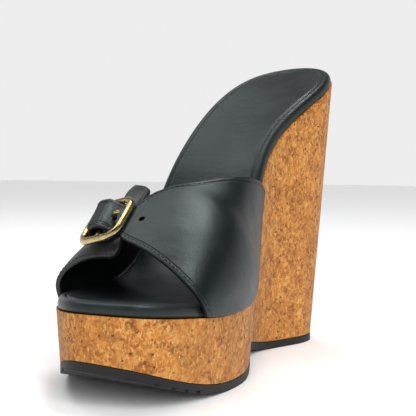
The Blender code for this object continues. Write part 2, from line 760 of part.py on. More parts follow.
def settle(items):
    """Puts the origin under the middle of the shoe, on the floor."""
    bpy.context.view_layer.update()
    graph = bpy.context.evaluated_depsgraph_get()
    corners = []
    for item in items:
        shape = item.evaluated_get(graph)
        corners += [shape.matrix_world @ Vector(corner) for corner in shape.bound_box]
    low = [min(c[k] for c in corners) for k in range(3)]
    high = [max(c[k] for c in corners) for k in range(3)]
    shift = Vector((-(low[0] + high[0]) / 2, -(low[1] + high[1]) / 2, -low[2]))
    for item in bpy.context.scene.objects:
        item.location += shift
    return shift


def main():
    clear_scene()
    leather = material("black_leather", (0.022, 0.027, 0.028), 0.42)
    cork = material("cork", (0.62, 0.36, 0.14), 0.75)
    rubber = material("black_rubber", (0.018, 0.018, 0.018), 0.7)
    brass = material("antique_brass", (0.62, 0.44, 0.14), 0.3, 1.0)
    parts = [make_outsole(rubber), make_wedge(cork), make_footbed(leather), make_upper(leather),
             make_buckle_frame(brass), make_prong(brass)]
    settle(parts)


main()
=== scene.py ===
"""Looks of the wedge slide: cork, rubber, footbed, leather straps with their stitches, and the buckle."""

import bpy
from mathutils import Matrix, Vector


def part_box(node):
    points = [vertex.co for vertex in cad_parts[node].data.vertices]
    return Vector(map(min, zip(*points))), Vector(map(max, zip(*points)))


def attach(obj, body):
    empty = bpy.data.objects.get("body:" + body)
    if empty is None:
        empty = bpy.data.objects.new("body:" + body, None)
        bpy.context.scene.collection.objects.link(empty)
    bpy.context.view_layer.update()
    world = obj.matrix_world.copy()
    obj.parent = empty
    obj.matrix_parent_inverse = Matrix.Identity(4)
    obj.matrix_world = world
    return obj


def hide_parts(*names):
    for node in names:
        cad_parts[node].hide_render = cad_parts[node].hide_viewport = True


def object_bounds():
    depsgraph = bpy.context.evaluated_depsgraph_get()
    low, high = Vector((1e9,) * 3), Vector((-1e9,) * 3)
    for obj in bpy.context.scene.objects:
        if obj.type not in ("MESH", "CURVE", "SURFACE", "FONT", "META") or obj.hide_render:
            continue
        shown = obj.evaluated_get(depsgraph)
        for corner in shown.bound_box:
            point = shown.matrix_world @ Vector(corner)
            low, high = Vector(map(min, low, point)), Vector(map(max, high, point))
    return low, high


bl_info = {
    "name": "Wedge Slide Looks",
    "version": (1, 0, 0),
    "blender": (4, 5, 0),
    "location": "3D View > Sidebar > Wedge Slide",
    "description": "Dresses the wedge slide in cork, leather, rubber and brass, and sets up its stage",
    "category": "Object",
}

import math
from collections import namedtuple

import bmesh
import bpy
import numpy as np
from mathutils import Matrix, Vector

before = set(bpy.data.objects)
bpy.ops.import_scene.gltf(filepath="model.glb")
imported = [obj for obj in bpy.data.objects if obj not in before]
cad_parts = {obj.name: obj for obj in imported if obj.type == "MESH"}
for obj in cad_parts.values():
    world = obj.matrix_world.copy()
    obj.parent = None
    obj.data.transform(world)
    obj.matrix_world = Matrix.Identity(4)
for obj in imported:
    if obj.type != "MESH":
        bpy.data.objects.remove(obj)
CAD_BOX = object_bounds()
MM = 0.001

# The shoe's own form, in the same sizes as its solids. Lengths are in metres from the back of the heel
SHOE_LENGTH = 0.2068
BALL_WIDTH = 0.0850
HEEL_RISE = 0.1402
PLATFORM_RISE = 0.0318
FOOTBED_THICKNESS = 0.0050
FOOTBED_INSET = 0.0004
FOOTBED_CUP = 0.0014
STRAP_SEAT = 0.0007
SEAT_EASE = 0.02
STRAP_STAND_OFF = 0.0016
STRAP_FOOT_LIFT = 0.0002
UPPER_WALL = 0.0020
VAULT_RISE = 0.0508
JOINT_LAP = 0.00030
CLEARANCE = 0.0003

BUCKLE_LENGTH = 0.0265
BUCKLE_WIDTH = 0.0230
BUCKLE_BAR = 0.0034
BUCKLE_THICKNESS = 0.0030
BUCKLE_CORNER = 0.0070
BUCKLE_FALL = 0.0010
BUCKLE_FALL_REACH = 1.5
CENTRE_BAR_RADIUS = 0.0012
CENTRE_BAR_HEIGHT = 0.0018
PRONG_RADIUS = 0.0009
NECK_REAR = -0.0088
NECK_FRONT = 0.0075
NECK_TAPER = 0.45
LOOP_ROOM = 0.0010
HUMP_MEDIAL_END = 0.0078
HUMP_MEDIAL_CREST = 0.0008
HUMP_LATERAL_CREST = -0.0036
HUMP_LATERAL_END = -0.0076
WALL_STRETCH_LIMIT = 1.7
HOLE_RADIUS = 0.0014
HOLE_OFFSET = 0.0042
SPARE_HOLE_OFFSET = 0.0171

# The closed outline of the wedge's top, shares of length and of ball width, medial side first
Corner = namedtuple("Corner", "along side")
OUTLINE = [
    Corner(0.000, 0.000), Corner(0.041, 0.229), Corner(0.155, 0.334), Corner(0.318, 0.241),
    Corner(0.473, 0.341), Corner(0.614, 0.497), Corner(0.750, 0.554), Corner(0.873, 0.547),
    Corner(0.959, 0.467), Corner(0.991, 0.290), Corner(0.999, 0.130), Corner(0.975, 0.005),
    Corner(0.930, -0.112), Corner(0.864, -0.247), Corner(0.800, -0.362), Corner(0.727, -0.442),
    Corner(0.591, -0.422), Corner(0.455, -0.379), Corner(0.309, -0.364), Corner(0.155, -0.340),
    Corner(0.041, -0.238),
]

# The wedge's top line: rise is the share of the way from the platform up to the heel
Profile = namedtuple("Profile", "along rise")
TOP_LINE = [
    Profile(0.000, 1.000), Profile(0.091, 0.931), Profile(0.182, 0.842), Profile(0.273, 0.721),
    Profile(0.341, 0.604), Profile(0.400, 0.470), Profile(0.455, 0.304), Profile(0.509, 0.155),
    Profile(0.568, 0.054), Profile(0.636, 0.012), Profile(0.727, 0.000), Profile(0.864, 0.018),
    Profile(1.000, 0.043),
]

# The vault that both straps lie on, section by section from the rear to the front
Section = namedtuple("Section", "station medial lateral rise lean medial_shoulder lateral_shoulder "
                                "tilt medial_swell lateral_swell")
VAULT = [
    Section(0.0, 0.412, 0.466, 0.756, 37.0, 0.95, 0.73, -0.027, 0.111, 0.085),
    Section(0.5, 0.619, 0.615, 0.976, 77.7, 0.85, 0.62, -0.045, 0.064, -0.106),
    Section(1.0, 0.827, 0.800, 0.382, 64.7, 0.89, 0.59, -0.075, 0.017, 0.008),
]

# Edges of the straps: at each turn round the vault, the stations of the rear and the front edge
Edge = namedtuple("Edge", "turn rear front")
BAND_EDGES = [
    Edge(0, 0.000, 1.000), Edge(45, 0.095, 0.960), Edge(75, 0.345, 0.890), Edge(90, 0.560, 0.859),
    Edge(104, 0.640, 0.829),
]
BAND_NECK_START = 92.0
BAND_NECK_END = 101.0
STRAP_EDGES = [
    Edge(92, 0.230, 0.937), Edge(140, 0.110, 0.938), Edge(180, 0.000, 1.000),
]
STRAP_END_TURN_REAR = 120.3
STRAP_END_TURN_FRONT = 92.3

BUCKLE_STATION = 0.768
BUCKLE_TURN = 114.8
BUCKLE_LIFT = 0.0004
BUCKLE_PITCH = 38.3
BUCKLE_YAW = 9.7
BUCKLE_ROLL = 9.5

# The footbed's rolled rim from its foot to its top, as shares of the footbed's thickness, and then the
# seam that is pressed in beside it
Rim = namedtuple("Rim", "inset rise")
RIM = [
    Rim(0.30, 0.00), Rim(0.14, 0.03), Rim(0.04, 0.12), Rim(0.00, 0.25), Rim(0.00, 0.42), Rim(0.02, 0.56),
    Rim(0.07, 0.69), Rim(0.15, 0.80), Rim(0.26, 0.89), Rim(0.39, 0.95), Rim(0.52, 0.965), Rim(0.60, 0.955),
    Rim(0.66, 0.925), Rim(0.70, 0.905), Rim(0.74, 0.930), Rim(0.80, 0.965), Rim(0.92, 0.99), Rim(1.10, 1.00),
]

# The buckle bar's section: out in half widths of the bar, up in shares of its thickness
Chamfer = namedtuple("Chamfer", "out up")
BAR_SECTION = [
    Chamfer(-1.00, 0.25), Chamfer(-0.62, 0.00), Chamfer(0.62, 0.00), Chamfer(1.00, 0.25),
    Chamfer(1.00, 0.60), Chamfer(0.45, 1.00), Chamfer(-0.45, 1.00), Chamfer(-1.00, 0.60),
]

# The prong's way from under the centre bar, up through the hole and onto the medial bar
Bend = namedtuple("Bend", "mark across rise")
PRONG_BENDS = [
    Bend("bar", -0.0014, 0.0000), Bend("bar", 0.0006, 0.0000), Bend("bar", 0.0026, 0.0006),
    Bend("hole", 0.0000, 0.0000), Bend("hole", 0.0018, 0.0017), Bend("medial_bar", -0.0008, 0.0002),
    Bend("medial_bar", 0.0012, 0.0000),
]

# Creases of the leather: a line over the strap from one turn and share of its width to another, how
# wide it spreads, and how far it stands out (or in, if negative), both in metres
Crease = namedtuple("Crease", "turn share to_turn to_share spread rise")
BAND_CREASES = [
    Crease(84, 0.24, 44, 0.14, 0.0045, 0.00016),
    Crease(88, 0.86, 52, 0.72, 0.0040, 0.00018),
    Crease(80, 0.66, 40, 0.50, 0.0050, -0.00014),
    Crease(34, 0.06, 16, 0.34, 0.0042, -0.00022),
    Crease(22, 0.62, 10, 0.92, 0.0048, 0.00022),
]
STRAP_CREASES = [
    Crease(108, 0.90, 146, 0.92, 0.0032, 0.00030),
    Crease(116, 0.74, 150, 0.78, 0.0036, -0.00024),
    Crease(150, 0.16, 168, 0.52, 0.0046, 0.00026),
    Crease(158, 0.70, 172, 0.90, 0.0042, -0.00024),
]

# A crease fades towards its ends: how near to them its fade stops, and the power that it fades by
CREASE_END = 0.03
CREASE_FADE = 0.7

# A stitch: where it starts in its pitch, the power of its arch, the arch's height in thread radii, the
# share of it that is sunk in the leather, and how thick the thread still is at its ends
STITCH_START = 0.15
STITCH_ARCH = 0.6
STITCH_HEIGHT = 1.2
STITCH_SUNK = 0.6
THREAD_END = 0.55

# Rows of a strap's mesh that stay free of stitches at each end of a seam
BAND_SEAM_MARGIN = 4
STRAP_SEAM_MARGIN = 3

# The prong's rounded tip: its length in bends, and how far round it goes
PRONG_TIP = 0.5
PRONG_TIP_END = 0.98

# Steps that slopes are taken over: a share of the shoe's length, stations and turns of the vault, and
# metres over the hump
SLOPE_STEP = 0.002
STATION_STEP = 0.01
TURN_STEP = 0.5
HUMP_STEP = 0.0003

# Searches on the vault: rounds, steps in station and turn, and the stations tried beside the buckle
SEARCH_ROUNDS = 8
SEARCH_STEP = (0.01, 1.0)
NECK_STATIONS = (0.3, 1.1, 81)

# Mesh fineness: points, rows and columns, rings and sides, the angles round a cut edge, how deep each
# round of cutting softens the buckle's section, and the angles that stay sharp
OUTLINE_POINTS = 3001
SIDE_STEPS = 130
ACROSS_STEPS = 34
BAND_ROWS = 120
NECK_ROWS = 60
BAND_COLUMNS = 38
STRAP_ROWS = 80
STRAP_COLUMNS = 44
CORNER_COLUMNS = 12
EDGE_ANGLES = (30.0, 60.0, 90.0)
CREASE_POINTS = 25
FRAME_STEPS = 160
FRAME_CORNER_STEPS = 24
FRAME_CUTS = (0.22, 0.25)
CENTRE_BAR_RINGS = 9
PRONG_RINGS = 61
PUNCH_SIDES = 24
ROD_SIDES = 20
STITCH_RINGS = 6
STITCH_SIDES = 6
SMOOTH_ANGLE = 50.0
FOOTBED_SMOOTH_ANGLE = 80.0

# The lateral strap's rounded front corner: share of its width that it takes, and turn at its end
CORNER_SHARE = 0.075
CORNER_TURN = 6.5

# The photograph's camera: its place in the shoe's own lengths, its sensor in millimetres, and its near clip
CAMERA_PLACE = (0.4972, 0.2625, 0.0946)
SENSOR = 36.0
CAMERA_CLIP = 0.01

# Studio: each lamp's direction from the shoe, its distance and size, which way its length runs, and
# whether the leather mirrors it
Lamp = namedtuple("Lamp", "direction distance width length along gloss")
KEY_LAMP = Lamp((0.75, 0.75, 0.60), 1.3, 0.9, 0.9, (0.0, 0.0, 1.0), False)
STRIP_LAMP = Lamp((-0.19, -0.02, 0.98), 1.2, 0.16, 0.80, (0.50, 0.86, 0.0), True)
HEEL_LAMP = Lamp((0.04, -0.53, 0.85), 1.2, 0.40, 0.55, (0.0, 0.0, 1.0), True)
DAY_DIRECTION = (0.55, 0.60, 0.62)
DAY_ANGLE = 1.0
ROOM_FADE = (0.20, 0.65)
ROOM_CEILING = 0.06

# The black leathers: scale, range and share of their bloom and of the cloud over it, and where the shadow
# of the seam starts, is full, fades and ends, in metres from the rim, with its share
Leather = namedtuple("Leather", "broad bloom bloom_share cloud cloudy cloud_share seam seam_share")
UPPER_LEATHER = Leather(0.035, (0.36, 0.68), 0.75, 0.35, (0.45, 0.75), 0.35,
                        (0.0011, 0.0017, 0.0021, 0.0028), 0.55)
FOOTBED_LEATHER = Leather(0.030, (0.35, 0.70), 0.80, 0.50, (0.50, 0.80), 0.30,
                          (0.0030, 0.0034, 0.0036, 0.0041), 0.60)
# Their highlights are faintly green-blue
LEATHER_TINT = (0.82, 1.0, 0.98, 1.0)

# Sockets of a colour Mix node
MIX_FACTOR = 0
MIX_FIRST = 6
MIX_SECOND = 7
MIX_RESULT = 2


def cubic(knots, values, closed=False):
    """Smooth curve through the values, as a function of the knot coordinate."""
    knots = np.asarray(knots, float)
    values = np.asarray(values, float).reshape(len(knots), -1)
    gaps = np.diff(knots)
    slopes = np.diff(values, axis=0) / gaps[:, None]
    count = len(knots)
    system = np.eye(count)
    right = np.zeros_like(values)
    for i in range(1, count - 1):
        system[i, i - 1:i + 2] = gaps[i - 1], 2 * (gaps[i - 1] + gaps[i]), gaps[i]
        right[i] = 6 * (slopes[i] - slopes[i - 1])
    if closed:
        system[0, 0], system[0, -1] = 1, -1
        system[-1, -2:] = gaps[-1], 2 * gaps[-1]
        system[-1, :2] += 2 * gaps[0], gaps[0]
        right[-1] = 6 * (slopes[0] - slopes[-1])
    bends = np.linalg.solve(system, right)

    def at(where):
        where = np.atleast_1d(np.asarray(where, float))
        i = np.clip(np.searchsorted(knots, where) - 1, 0, count - 2)
        gap = gaps[i][:, None]
        ahead = (where - knots[i])[:, None]
        back = gap - ahead
        curve = (bends[i] * back ** 3 + bends[i + 1] * ahead ** 3) / (6 * gap)
        start = values[i] / gap - bends[i] * gap / 6
        end = values[i + 1] / gap - bends[i + 1] * gap / 6
        return curve + start * back + end * ahead

    return at


def table_curve(rows, key, column):
    curve = cubic([getattr(row, key) for row in rows], [getattr(row, column) for row in rows])
    return lambda where: curve(where)[:, 0]


def smooth_step(value):
    value = np.clip(value, 0.0, 1.0)
    return value * value * (3 - 2 * value)


def unit(rows):
    """Rows scaled to length one."""
    return rows / np.linalg.norm(rows, axis=1)[:, None]


def run_along(points):
    """Distance of each point from the first, along the line."""
    return np.concatenate([[0.0], np.cumsum(np.linalg.norm(np.diff(points, axis=0), axis=1))])


def rows_at(where, run, rows):
    """Rows between the given ones, at distances along their run."""
    return np.stack([np.interp(where, run, column) for column in rows.T], axis=-1)


# The sole's lines
top_share = table_curve(TOP_LINE, "along", "rise")


def top_line(x):
    """Height of the wedge's top above the floor."""
    share = top_share(np.clip(np.atleast_1d(x) / SHOE_LENGTH, 0.0, 1.0))
    return PLATFORM_RISE + (HEEL_RISE - PLATFORM_RISE) * share


def top_slope_normal(x):
    """Unit vectors at right angles to the top line, in the XZ plane."""
    step = SLOPE_STEP * SHOE_LENGTH
    slope = (top_line(x + step) - top_line(x - step)) / (2 * step)
    size = np.hypot(slope, 1.0)
    return np.stack([-slope / size, np.zeros_like(slope), 1 / size], axis=-1)


def outline_sides():
    """Dense runs of the outline's medial and lateral side, both from the heel to the toe."""
    ring = np.array([(c.along * SHOE_LENGTH, c.side * BALL_WIDTH) for c in OUTLINE + OUTLINE[:1]])
    chords = np.sqrt(np.linalg.norm(np.diff(ring, axis=0), axis=1))
    knots = np.concatenate([[0.0], np.cumsum(chords)])
    dense = cubic(knots, ring, closed=True)(np.linspace(0.0, knots[-1], OUTLINE_POINTS))[:-1]
    dense = np.roll(dense, -int(np.argmin(dense[:, 0])), axis=0)
    tip = int(np.argmax(dense[:, 0]))
    return dense[:tip + 1], np.vstack([dense[tip:], dense[:1]])[::-1]


MEDIAL_RUN, LATERAL_RUN = outline_sides()


def shoe_shift():
    """The way from the shoe's own lengths to the frame: the wedge is the longest and lowest guide."""
    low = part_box("cork_wedge")[0]
    return np.array([low[0] - MEDIAL_RUN[:, 0].min(), low[1] - LATERAL_RUN[:, 1].min(), 0.0])


SHIFT = shoe_shift()


def medial_side(x):
    return np.interp(x, MEDIAL_RUN[:, 0], MEDIAL_RUN[:, 1])


def lateral_side(x):
    return np.interp(x, LATERAL_RUN[:, 0], LATERAL_RUN[:, 1])


def outline_ring():
    """Outline points in a ring: heel, medial side, toe, lateral side. Both sides share their stations."""
    heel = MEDIAL_RUN[0, 0]
    toe = MEDIAL_RUN[-1, 0]
    turns = np.linspace(0.0, math.pi, SIDE_STEPS + 1)
    x = heel + (toe - heel) * (1 - np.cos(turns)) / 2
    medial = np.stack([x, medial_side(x)], axis=-1)
    lateral = np.stack([x, lateral_side(x)], axis=-1)
    return np.vstack([medial, lateral[-2:0:-1]])


def outward(ring):
    along = unit(np.roll(ring, -1, axis=0) - np.roll(ring, 1, axis=0))
    return np.stack([-along[:, 1], along[:, 0]], axis=-1)


TOP_RING = outline_ring()
TOP_OUTWARD = outward(TOP_RING)


def footbed_inset():
    """The rim stands back where a strap comes down beside it."""
    x = TOP_RING[:, 0] / SHOE_LENGTH
    rear, front = VAULT[0], VAULT[-1]

    def seat_of(start, end):
        return smooth_step((x - start) / SEAT_EASE + 1) * smooth_step((end - x) / SEAT_EASE + 1)

    medial = seat_of(rear.medial, front.medial)
    lateral = seat_of(rear.lateral, front.lateral)
    seat = np.where(np.arange(len(x)) <= SIDE_STEPS, medial, lateral)
    return FOOTBED_INSET + STRAP_SEAT * seat


# The vault's values, each as a function of the station
SECTION = {name: table_curve(VAULT, "station", name) for name in Section._fields[1:]}


def vault(station, turn):
    """Points of the straps' outer surface. Turn runs from 0 at the medial to 180 at the lateral edge."""
    station = np.atleast_1d(np.asarray(station, float))
    angle = np.radians(np.atleast_1d(np.asarray(turn, float)))
    row = {name: curve(station) for name, curve in SECTION.items()}
    medial_x = row["medial"] * SHOE_LENGTH
    lateral_x = row["lateral"] * SHOE_LENGTH
    seat = CLEARANCE + STRAP_FOOT_LIFT
    medial = np.stack([medial_x, medial_side(medial_x) + STRAP_STAND_OFF, top_line(medial_x)], axis=-1)
    lateral_y = lateral_side(lateral_x) - STRAP_STAND_OFF - UPPER_WALL + JOINT_LAP
    lateral = np.stack([lateral_x, lateral_y, top_line(lateral_x)], axis=-1)
    medial += top_slope_normal(medial_x) * seat
    lateral += top_slope_normal(lateral_x) * seat
    lean = np.radians(row["lean"])
    up = np.stack([np.cos(lean), np.zeros_like(lean), np.sin(lean)], axis=-1)
    half = angle / math.pi
    shoulder = row["medial_shoulder"] * (1 - half) + row["lateral_shoulder"] * half
    rise = np.maximum(np.sin(angle), 0.0) ** shoulder * row["rise"] * VAULT_RISE
    rise *= 1 + row["tilt"] * np.cos(angle)
    across = ((1 - np.cos(angle)) / 2)[:, None]
    points = medial + (lateral - medial) * across + up * rise[:, None]
    swing = np.sin(2 * angle)
    swell = np.where(swing > 0, row["medial_swell"], row["lateral_swell"]) * BALL_WIDTH
    points[:, 1] += swell * swing
    return points


def vault_normal(station, turn):
    """Unit vectors at right angles to the vault, away from the foot."""
    station = np.atleast_1d(station)
    turn = np.clip(np.atleast_1d(turn), TURN_STEP, 180 - TURN_STEP)
    along = vault(station + STATION_STEP, turn) - vault(station - STATION_STEP, turn)
    around = vault(station, turn + TURN_STEP) - vault(station, turn - TURN_STEP)
    normal = unit(np.cross(around, along))
    middle = vault(np.full(1, 0.5), np.full(1, 90.0))[0]
    middle[2] = PLATFORM_RISE
    facing = np.sign(((vault(station, turn) - middle) * normal).sum(axis=1))
    return normal * facing[:, None]


class Seat:
    """The buckle's place on the vault: a runs towards the toe, b towards the medial side, c outwards."""

    def __init__(self):
        pitch, yaw, roll = (math.radians(angle) for angle in (BUCKLE_PITCH, BUCKLE_YAW, BUCKLE_ROLL))
        self.along = np.array([math.cos(pitch) * math.cos(yaw), math.cos(pitch) * math.sin(yaw),
                               -math.sin(pitch)])
        level = np.array([0.0, 1.0, 0.0]) - self.along * self.along[1]
        level /= np.linalg.norm(level)
        self.side = level * math.cos(roll) + np.cross(self.along, level) * math.sin(roll)
        self.out = np.cross(self.along, self.side)
        self.centre = vault(BUCKLE_STATION, BUCKLE_TURN)[0] + self.out * BUCKLE_LIFT

    def local(self, points):
        away = points - self.centre
        return away @ self.along, away @ self.side, away @ self.out

    def at(self, a, b, c):
        return self.centre + self.along * a + self.side * b + self.out * (bed(b) + c)

    def on_vault(self, a, b):
        """Station and turn of the vault's point that lies at a and b."""
        place = np.array([BUCKLE_STATION, BUCKLE_TURN])
        step = np.array(SEARCH_STEP)
        for _ in range(SEARCH_ROUNDS):
            trial = vault(place[0] + np.array([0, step[0], 0]), place[1] + np.array([0, 0, step[1]]))
            near = np.stack(self.local(trial)[:2])
            slopes = (near[:, 1:] - near[:, :1]) / step
            place = place + np.linalg.solve(slopes, np.array([a, b]) - near[:, 0])
        return place


def bed(b):
    """The lateral half of the frame, and the band under it, bend down from the frame's plane."""
    share = np.clip(-b / (BUCKLE_WIDTH / 2), 0.0, BUCKLE_FALL_REACH)
    return -BUCKLE_FALL * share ** 2


SEAT = Seat()


def hump(b):
    """The band's climb over the centre bar, inside the frame."""
    top = CENTRE_BAR_HEIGHT + CENTRE_BAR_RADIUS + LOOP_ROOM + UPPER_WALL
    medial = smooth_step((HUMP_MEDIAL_END - b) / (HUMP_MEDIAL_END - HUMP_MEDIAL_CREST))
    lateral = smooth_step((b - HUMP_LATERAL_END) / (HUMP_LATERAL_CREST - HUMP_LATERAL_END))
    return top * medial * lateral


def hump_slope(b):
    return (hump(b + HUMP_STEP) - hump(b - HUMP_STEP)) / (2 * HUMP_STEP)


def band_lift(points, normals):
    """How far the band's outer face stands off the vault, to pass under the bars, and its wall there."""
    a, b, c = SEAT.local(points)
    held = smooth_step((BUCKLE_WIDTH / 2 + BUCKLE_BAR - b) / BUCKLE_BAR)
    lift = held * (bed(b) + hump(b) - c) / (normals @ SEAT.out)
    stretch = np.minimum(np.hypot(1.0, held * hump_slope(b)), WALL_STRETCH_LIMIT)
    return lift, UPPER_WALL * stretch


def neck_stations(turn, offset):
    """Stations that lie at an offset along the buckle, where the band is as wide as the frame lets it."""
    stations = np.linspace(*NECK_STATIONS)
    found = []
    for value, reach in zip(turn, offset):
        along = (vault(stations, np.full_like(stations, value)) - SEAT.centre) @ SEAT.along
        found.append(np.interp(reach, along, stations))
    return np.array(found)


BAND_END = SEAT.on_vault(0.0, -BUCKLE_WIDTH / 2)[1]


def band_stations(turn):
    """Stations of the band's rear and front edge at each turn."""
    neck = smooth_step((turn - BAND_NECK_START) / (BAND_NECK_END - BAND_NECK_START))
    crest = SEAT.on_vault(0.0, HUMP_LATERAL_CREST)[1]
    tail = 1 - NECK_TAPER * smooth_step((turn - crest) / (BAND_END - crest))
    held = np.minimum(turn, BAND_EDGES[-1].turn)
    edges = []
    for side, name in ((NECK_REAR, "rear"), (NECK_FRONT, "front")):
        wide = table_curve(BAND_EDGES, "turn", name)(held)
        edges.append(wide + (neck_stations(turn, side * tail) - wide) * neck)
    return edges


def strap_lift(points, normals):
    """The lateral strap lies under the band."""
    even = np.full(len(points), UPPER_WALL)
    return JOINT_LAP - even, even


class Band:
    """The wide medial band: turn down its length, share from its rear to its front edge."""

    lift_of = staticmethod(band_lift)
    creases = BAND_CREASES

    def place(self, turn, share):
        rear, front = band_stations(turn)
        return rear + (front - rear) * share, turn


class LateralStrap:
    """The strap from the lateral edge, which the buckle hangs on."""

    lift_of = staticmethod(strap_lift)
    creases = STRAP_CREASES

    def place(self, turn, share):
        rear = table_curve(STRAP_EDGES, "turn", "rear")(turn)
        front = table_curve(STRAP_EDGES, "turn", "front")(turn)
        return rear + (front - rear) * share, turn

    def end_turn(self, share):
        """Turn of the strap's end, with its front corner rounded."""
        corner = np.clip((share - 1 + CORNER_SHARE) / CORNER_SHARE, 0.0, 1.0)
        straight = STRAP_END_TURN_REAR + (STRAP_END_TURN_FRONT - STRAP_END_TURN_REAR) * share
        return straight + CORNER_TURN * (1 - np.sqrt(1 - corner ** 2))


def crease_rise(strap, points):
    """How far the creases lift the leather at each point."""
    total = np.zeros(len(points))
    for crease in strap.creases:
        way = np.linspace(0.0, 1.0, CREASE_POINTS)
        turn = crease.turn + (crease.to_turn - crease.turn) * way
        share = crease.share + (crease.to_share - crease.share) * way
        line = vault(*strap.place(turn, share))
        gaps = np.linalg.norm(points[:, None, :] - line[None, :, :], axis=2)
        nearest = gaps.argmin(axis=1)
        fade = np.sin(math.pi * np.clip(way[nearest], CREASE_END, 1 - CREASE_END)) ** CREASE_FADE
        total += crease.rise * fade * np.exp(-(gaps.min(axis=1) / crease.spread) ** 2)
    return total


def sheet_faces(strap, station, turn):
    """Outer points, outward directions and wall of a strap, at the given stations and turns."""
    points = vault(station, turn)
    normals = vault_normal(station, turn)
    lift, wall = strap.lift_of(points, normals)
    local_b = SEAT.local(points)[1]
    free = smooth_step((local_b - BUCKLE_WIDTH / 2) / BUCKLE_BAR) if isinstance(strap, Band) else 1.0
    outer = points + normals * (lift + free * crease_rise(strap, points))[:, None]
    return outer, normals, wall


def new_item(name, data, place=(0.0, 0.0, 0.0)):
    """An object in the scene, from its data."""
    item = bpy.data.objects.new(name, data)
    item.location = place
    bpy.context.scene.collection.objects.link(item)
    return item


def new_solid(name, vertices, faces, materials):
    """A mesh object in the scene."""
    mesh = bpy.data.meshes.new(name)
    mesh.from_pydata([tuple(map(float, v)) for v in vertices], [], faces)
    for mat in materials:
        mesh.materials.append(mat)
    return new_item(name, mesh)


def add_mesh(name, vertices, faces, materials, face_slots=None, smooth_angle=SMOOTH_ANGLE):
    """A new piece from shoe lengths, moved into the frame."""
    piece = new_solid(name, np.asarray(vertices) + SHIFT, faces, materials)
    mesh = piece.data
    if face_slots is not None:
        mesh.polygons.foreach_set("material_index", face_slots)
    mesh.update()
    mesh.validate()
    mesh.shade_smooth()
    mesh.set_sharp_from_angle(angle=math.radians(smooth_angle))
    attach(piece, "root")
    return piece


def add_measure(piece, name, values):
    """A number at each vertex that the material can read."""
    layer = piece.data.attributes.new(name, "FLOAT", "POINT")
    layer.data.foreach_set("value", np.asarray(values, dtype=np.float32))


def border_ring(rows, columns):
    """Indices of a grid's border, once round."""
    ring = list(range(columns))
    ring += [i * columns + columns - 1 for i in range(1, rows)]
    ring += [(rows - 1) * columns + j for j in range(columns - 2, -1, -1)]
    ring += [i * columns for i in range(rows - 2, 0, -1)]
    return ring


def strap_piece(name, strap, station, turn, round_off, materials):
    """A strap with rounded edges: leather outside, painted edges and a lining inside. With it come the
    points of its outer border and their directions away from the strap."""
    rows, columns = station.shape
    outer, normals, wall = sheet_faces(strap, station.ravel(), turn.ravel())
    inner = outer - normals * wall[:, None]
    ring = border_ring(rows, columns)
    edge = outer[ring]
    along = np.roll(edge, -1, axis=0) - np.roll(edge, 1, axis=0)
    away = unit(np.cross(along, normals[ring]))
    centre = outer.mean(axis=0)
    if ((edge - centre) * away).sum() < 0:
        away = -away
    rounds = []
    for angle in EDGE_ANGLES:
        back = round_off * (1 - math.sin(math.radians(angle)))
        down = round_off * (1 - math.cos(math.radians(angle)))
        rounds.append((back, down))
    profile = [edge - away * back - normals[ring] * down for back, down in rounds]
    foot = inner[ring]
    profile += [foot - away * back + normals[ring] * down for back, down in reversed(rounds)]
    outer[ring] = edge - away * round_off
    inner[ring] = foot - away * round_off
    size = rows * columns
    vertices = [outer, inner] + profile
    faces, slots = [], []
    for i in range(rows - 1):
        for j in range(columns - 1):
            a = i * columns + j
            quad = (a, a + 1, a + columns + 1, a + columns)
            faces.append(quad)
            slots.append(0)
            faces.append(tuple(size + k for k in reversed(quad)))
            slots.append(2)
    count = len(ring)
    starts = [2 * size + k * count for k in range(len(profile))]
    bands = [ring] + [list(range(start, start + count)) for start in starts] + [[size + k for k in ring]]
    for high, low in zip(bands, bands[1:]):
        for k in range(count):
            m = (k + 1) % count
            faces.append((high[k], low[k], low[m], high[m]))
            slots.append(1)
    piece = add_mesh(name, np.vstack(vertices), faces, materials, slots)
    flip_outwards(piece)
    step = np.linalg.norm(np.diff(outer.reshape(rows, columns, 3), axis=1), axis=2)
    run = np.concatenate([np.zeros((rows, 1)), np.cumsum(step, axis=1)], axis=1)
    inside = np.minimum(run, run[:, -1:] - run).ravel()
    rim = np.concatenate([inside, inside, np.zeros(count * len(profile))])
    add_measure(piece, "rim", rim)
    return piece, edge, away


def flip_outwards(piece):
    """Turns all faces to the outside."""
    work = bmesh.new()
    work.from_mesh(piece.data)
    bmesh.ops.recalc_face_normals(work, faces=work.faces)
    work.to_mesh(piece.data)
    work.free()


def stitch_line(piece, edge, away, inset):
    """A line on a strap's face, a fixed distance inside part of its border, with its outward directions."""
    line, normals = [], []
    for point in edge - away * inset:
        found, place, normal, _ = piece.closest_point_on_mesh(Vector(point + SHIFT))
        if not found:
            raise RuntimeError("no leather under a stitch of " + piece.name)
        line.append(place)
        normals.append(normal)
    return np.array(line) - SHIFT, np.array(normals)


def stitch_run(line, normals, sizes):
    """Stitches along a line, as vertices and faces."""
    run = run_along(line)
    pitch = sizes.stitch_length + sizes.stitch_gap
    shapes = []
    for k in range(int(run[-1] / pitch)):
        shares = np.linspace(0.0, 1.0, STITCH_RINGS)
        where = (k + STITCH_START) * pitch + shares * sizes.stitch_length
        out = unit(rows_at(where, run, normals))
        arch = np.sin(math.pi * shares) ** STITCH_ARCH
        rise = (arch - STITCH_SUNK) * sizes.thread_radius * STITCH_HEIGHT
        middle = rows_at(where, run, line) + out * rise[:, None]
        radii = sizes.thread_radius * (THREAD_END + (1 - THREAD_END) * arch)
        shapes.append(rod_shape(middle, radii, STITCH_SIDES))
    return join_shapes(shapes)


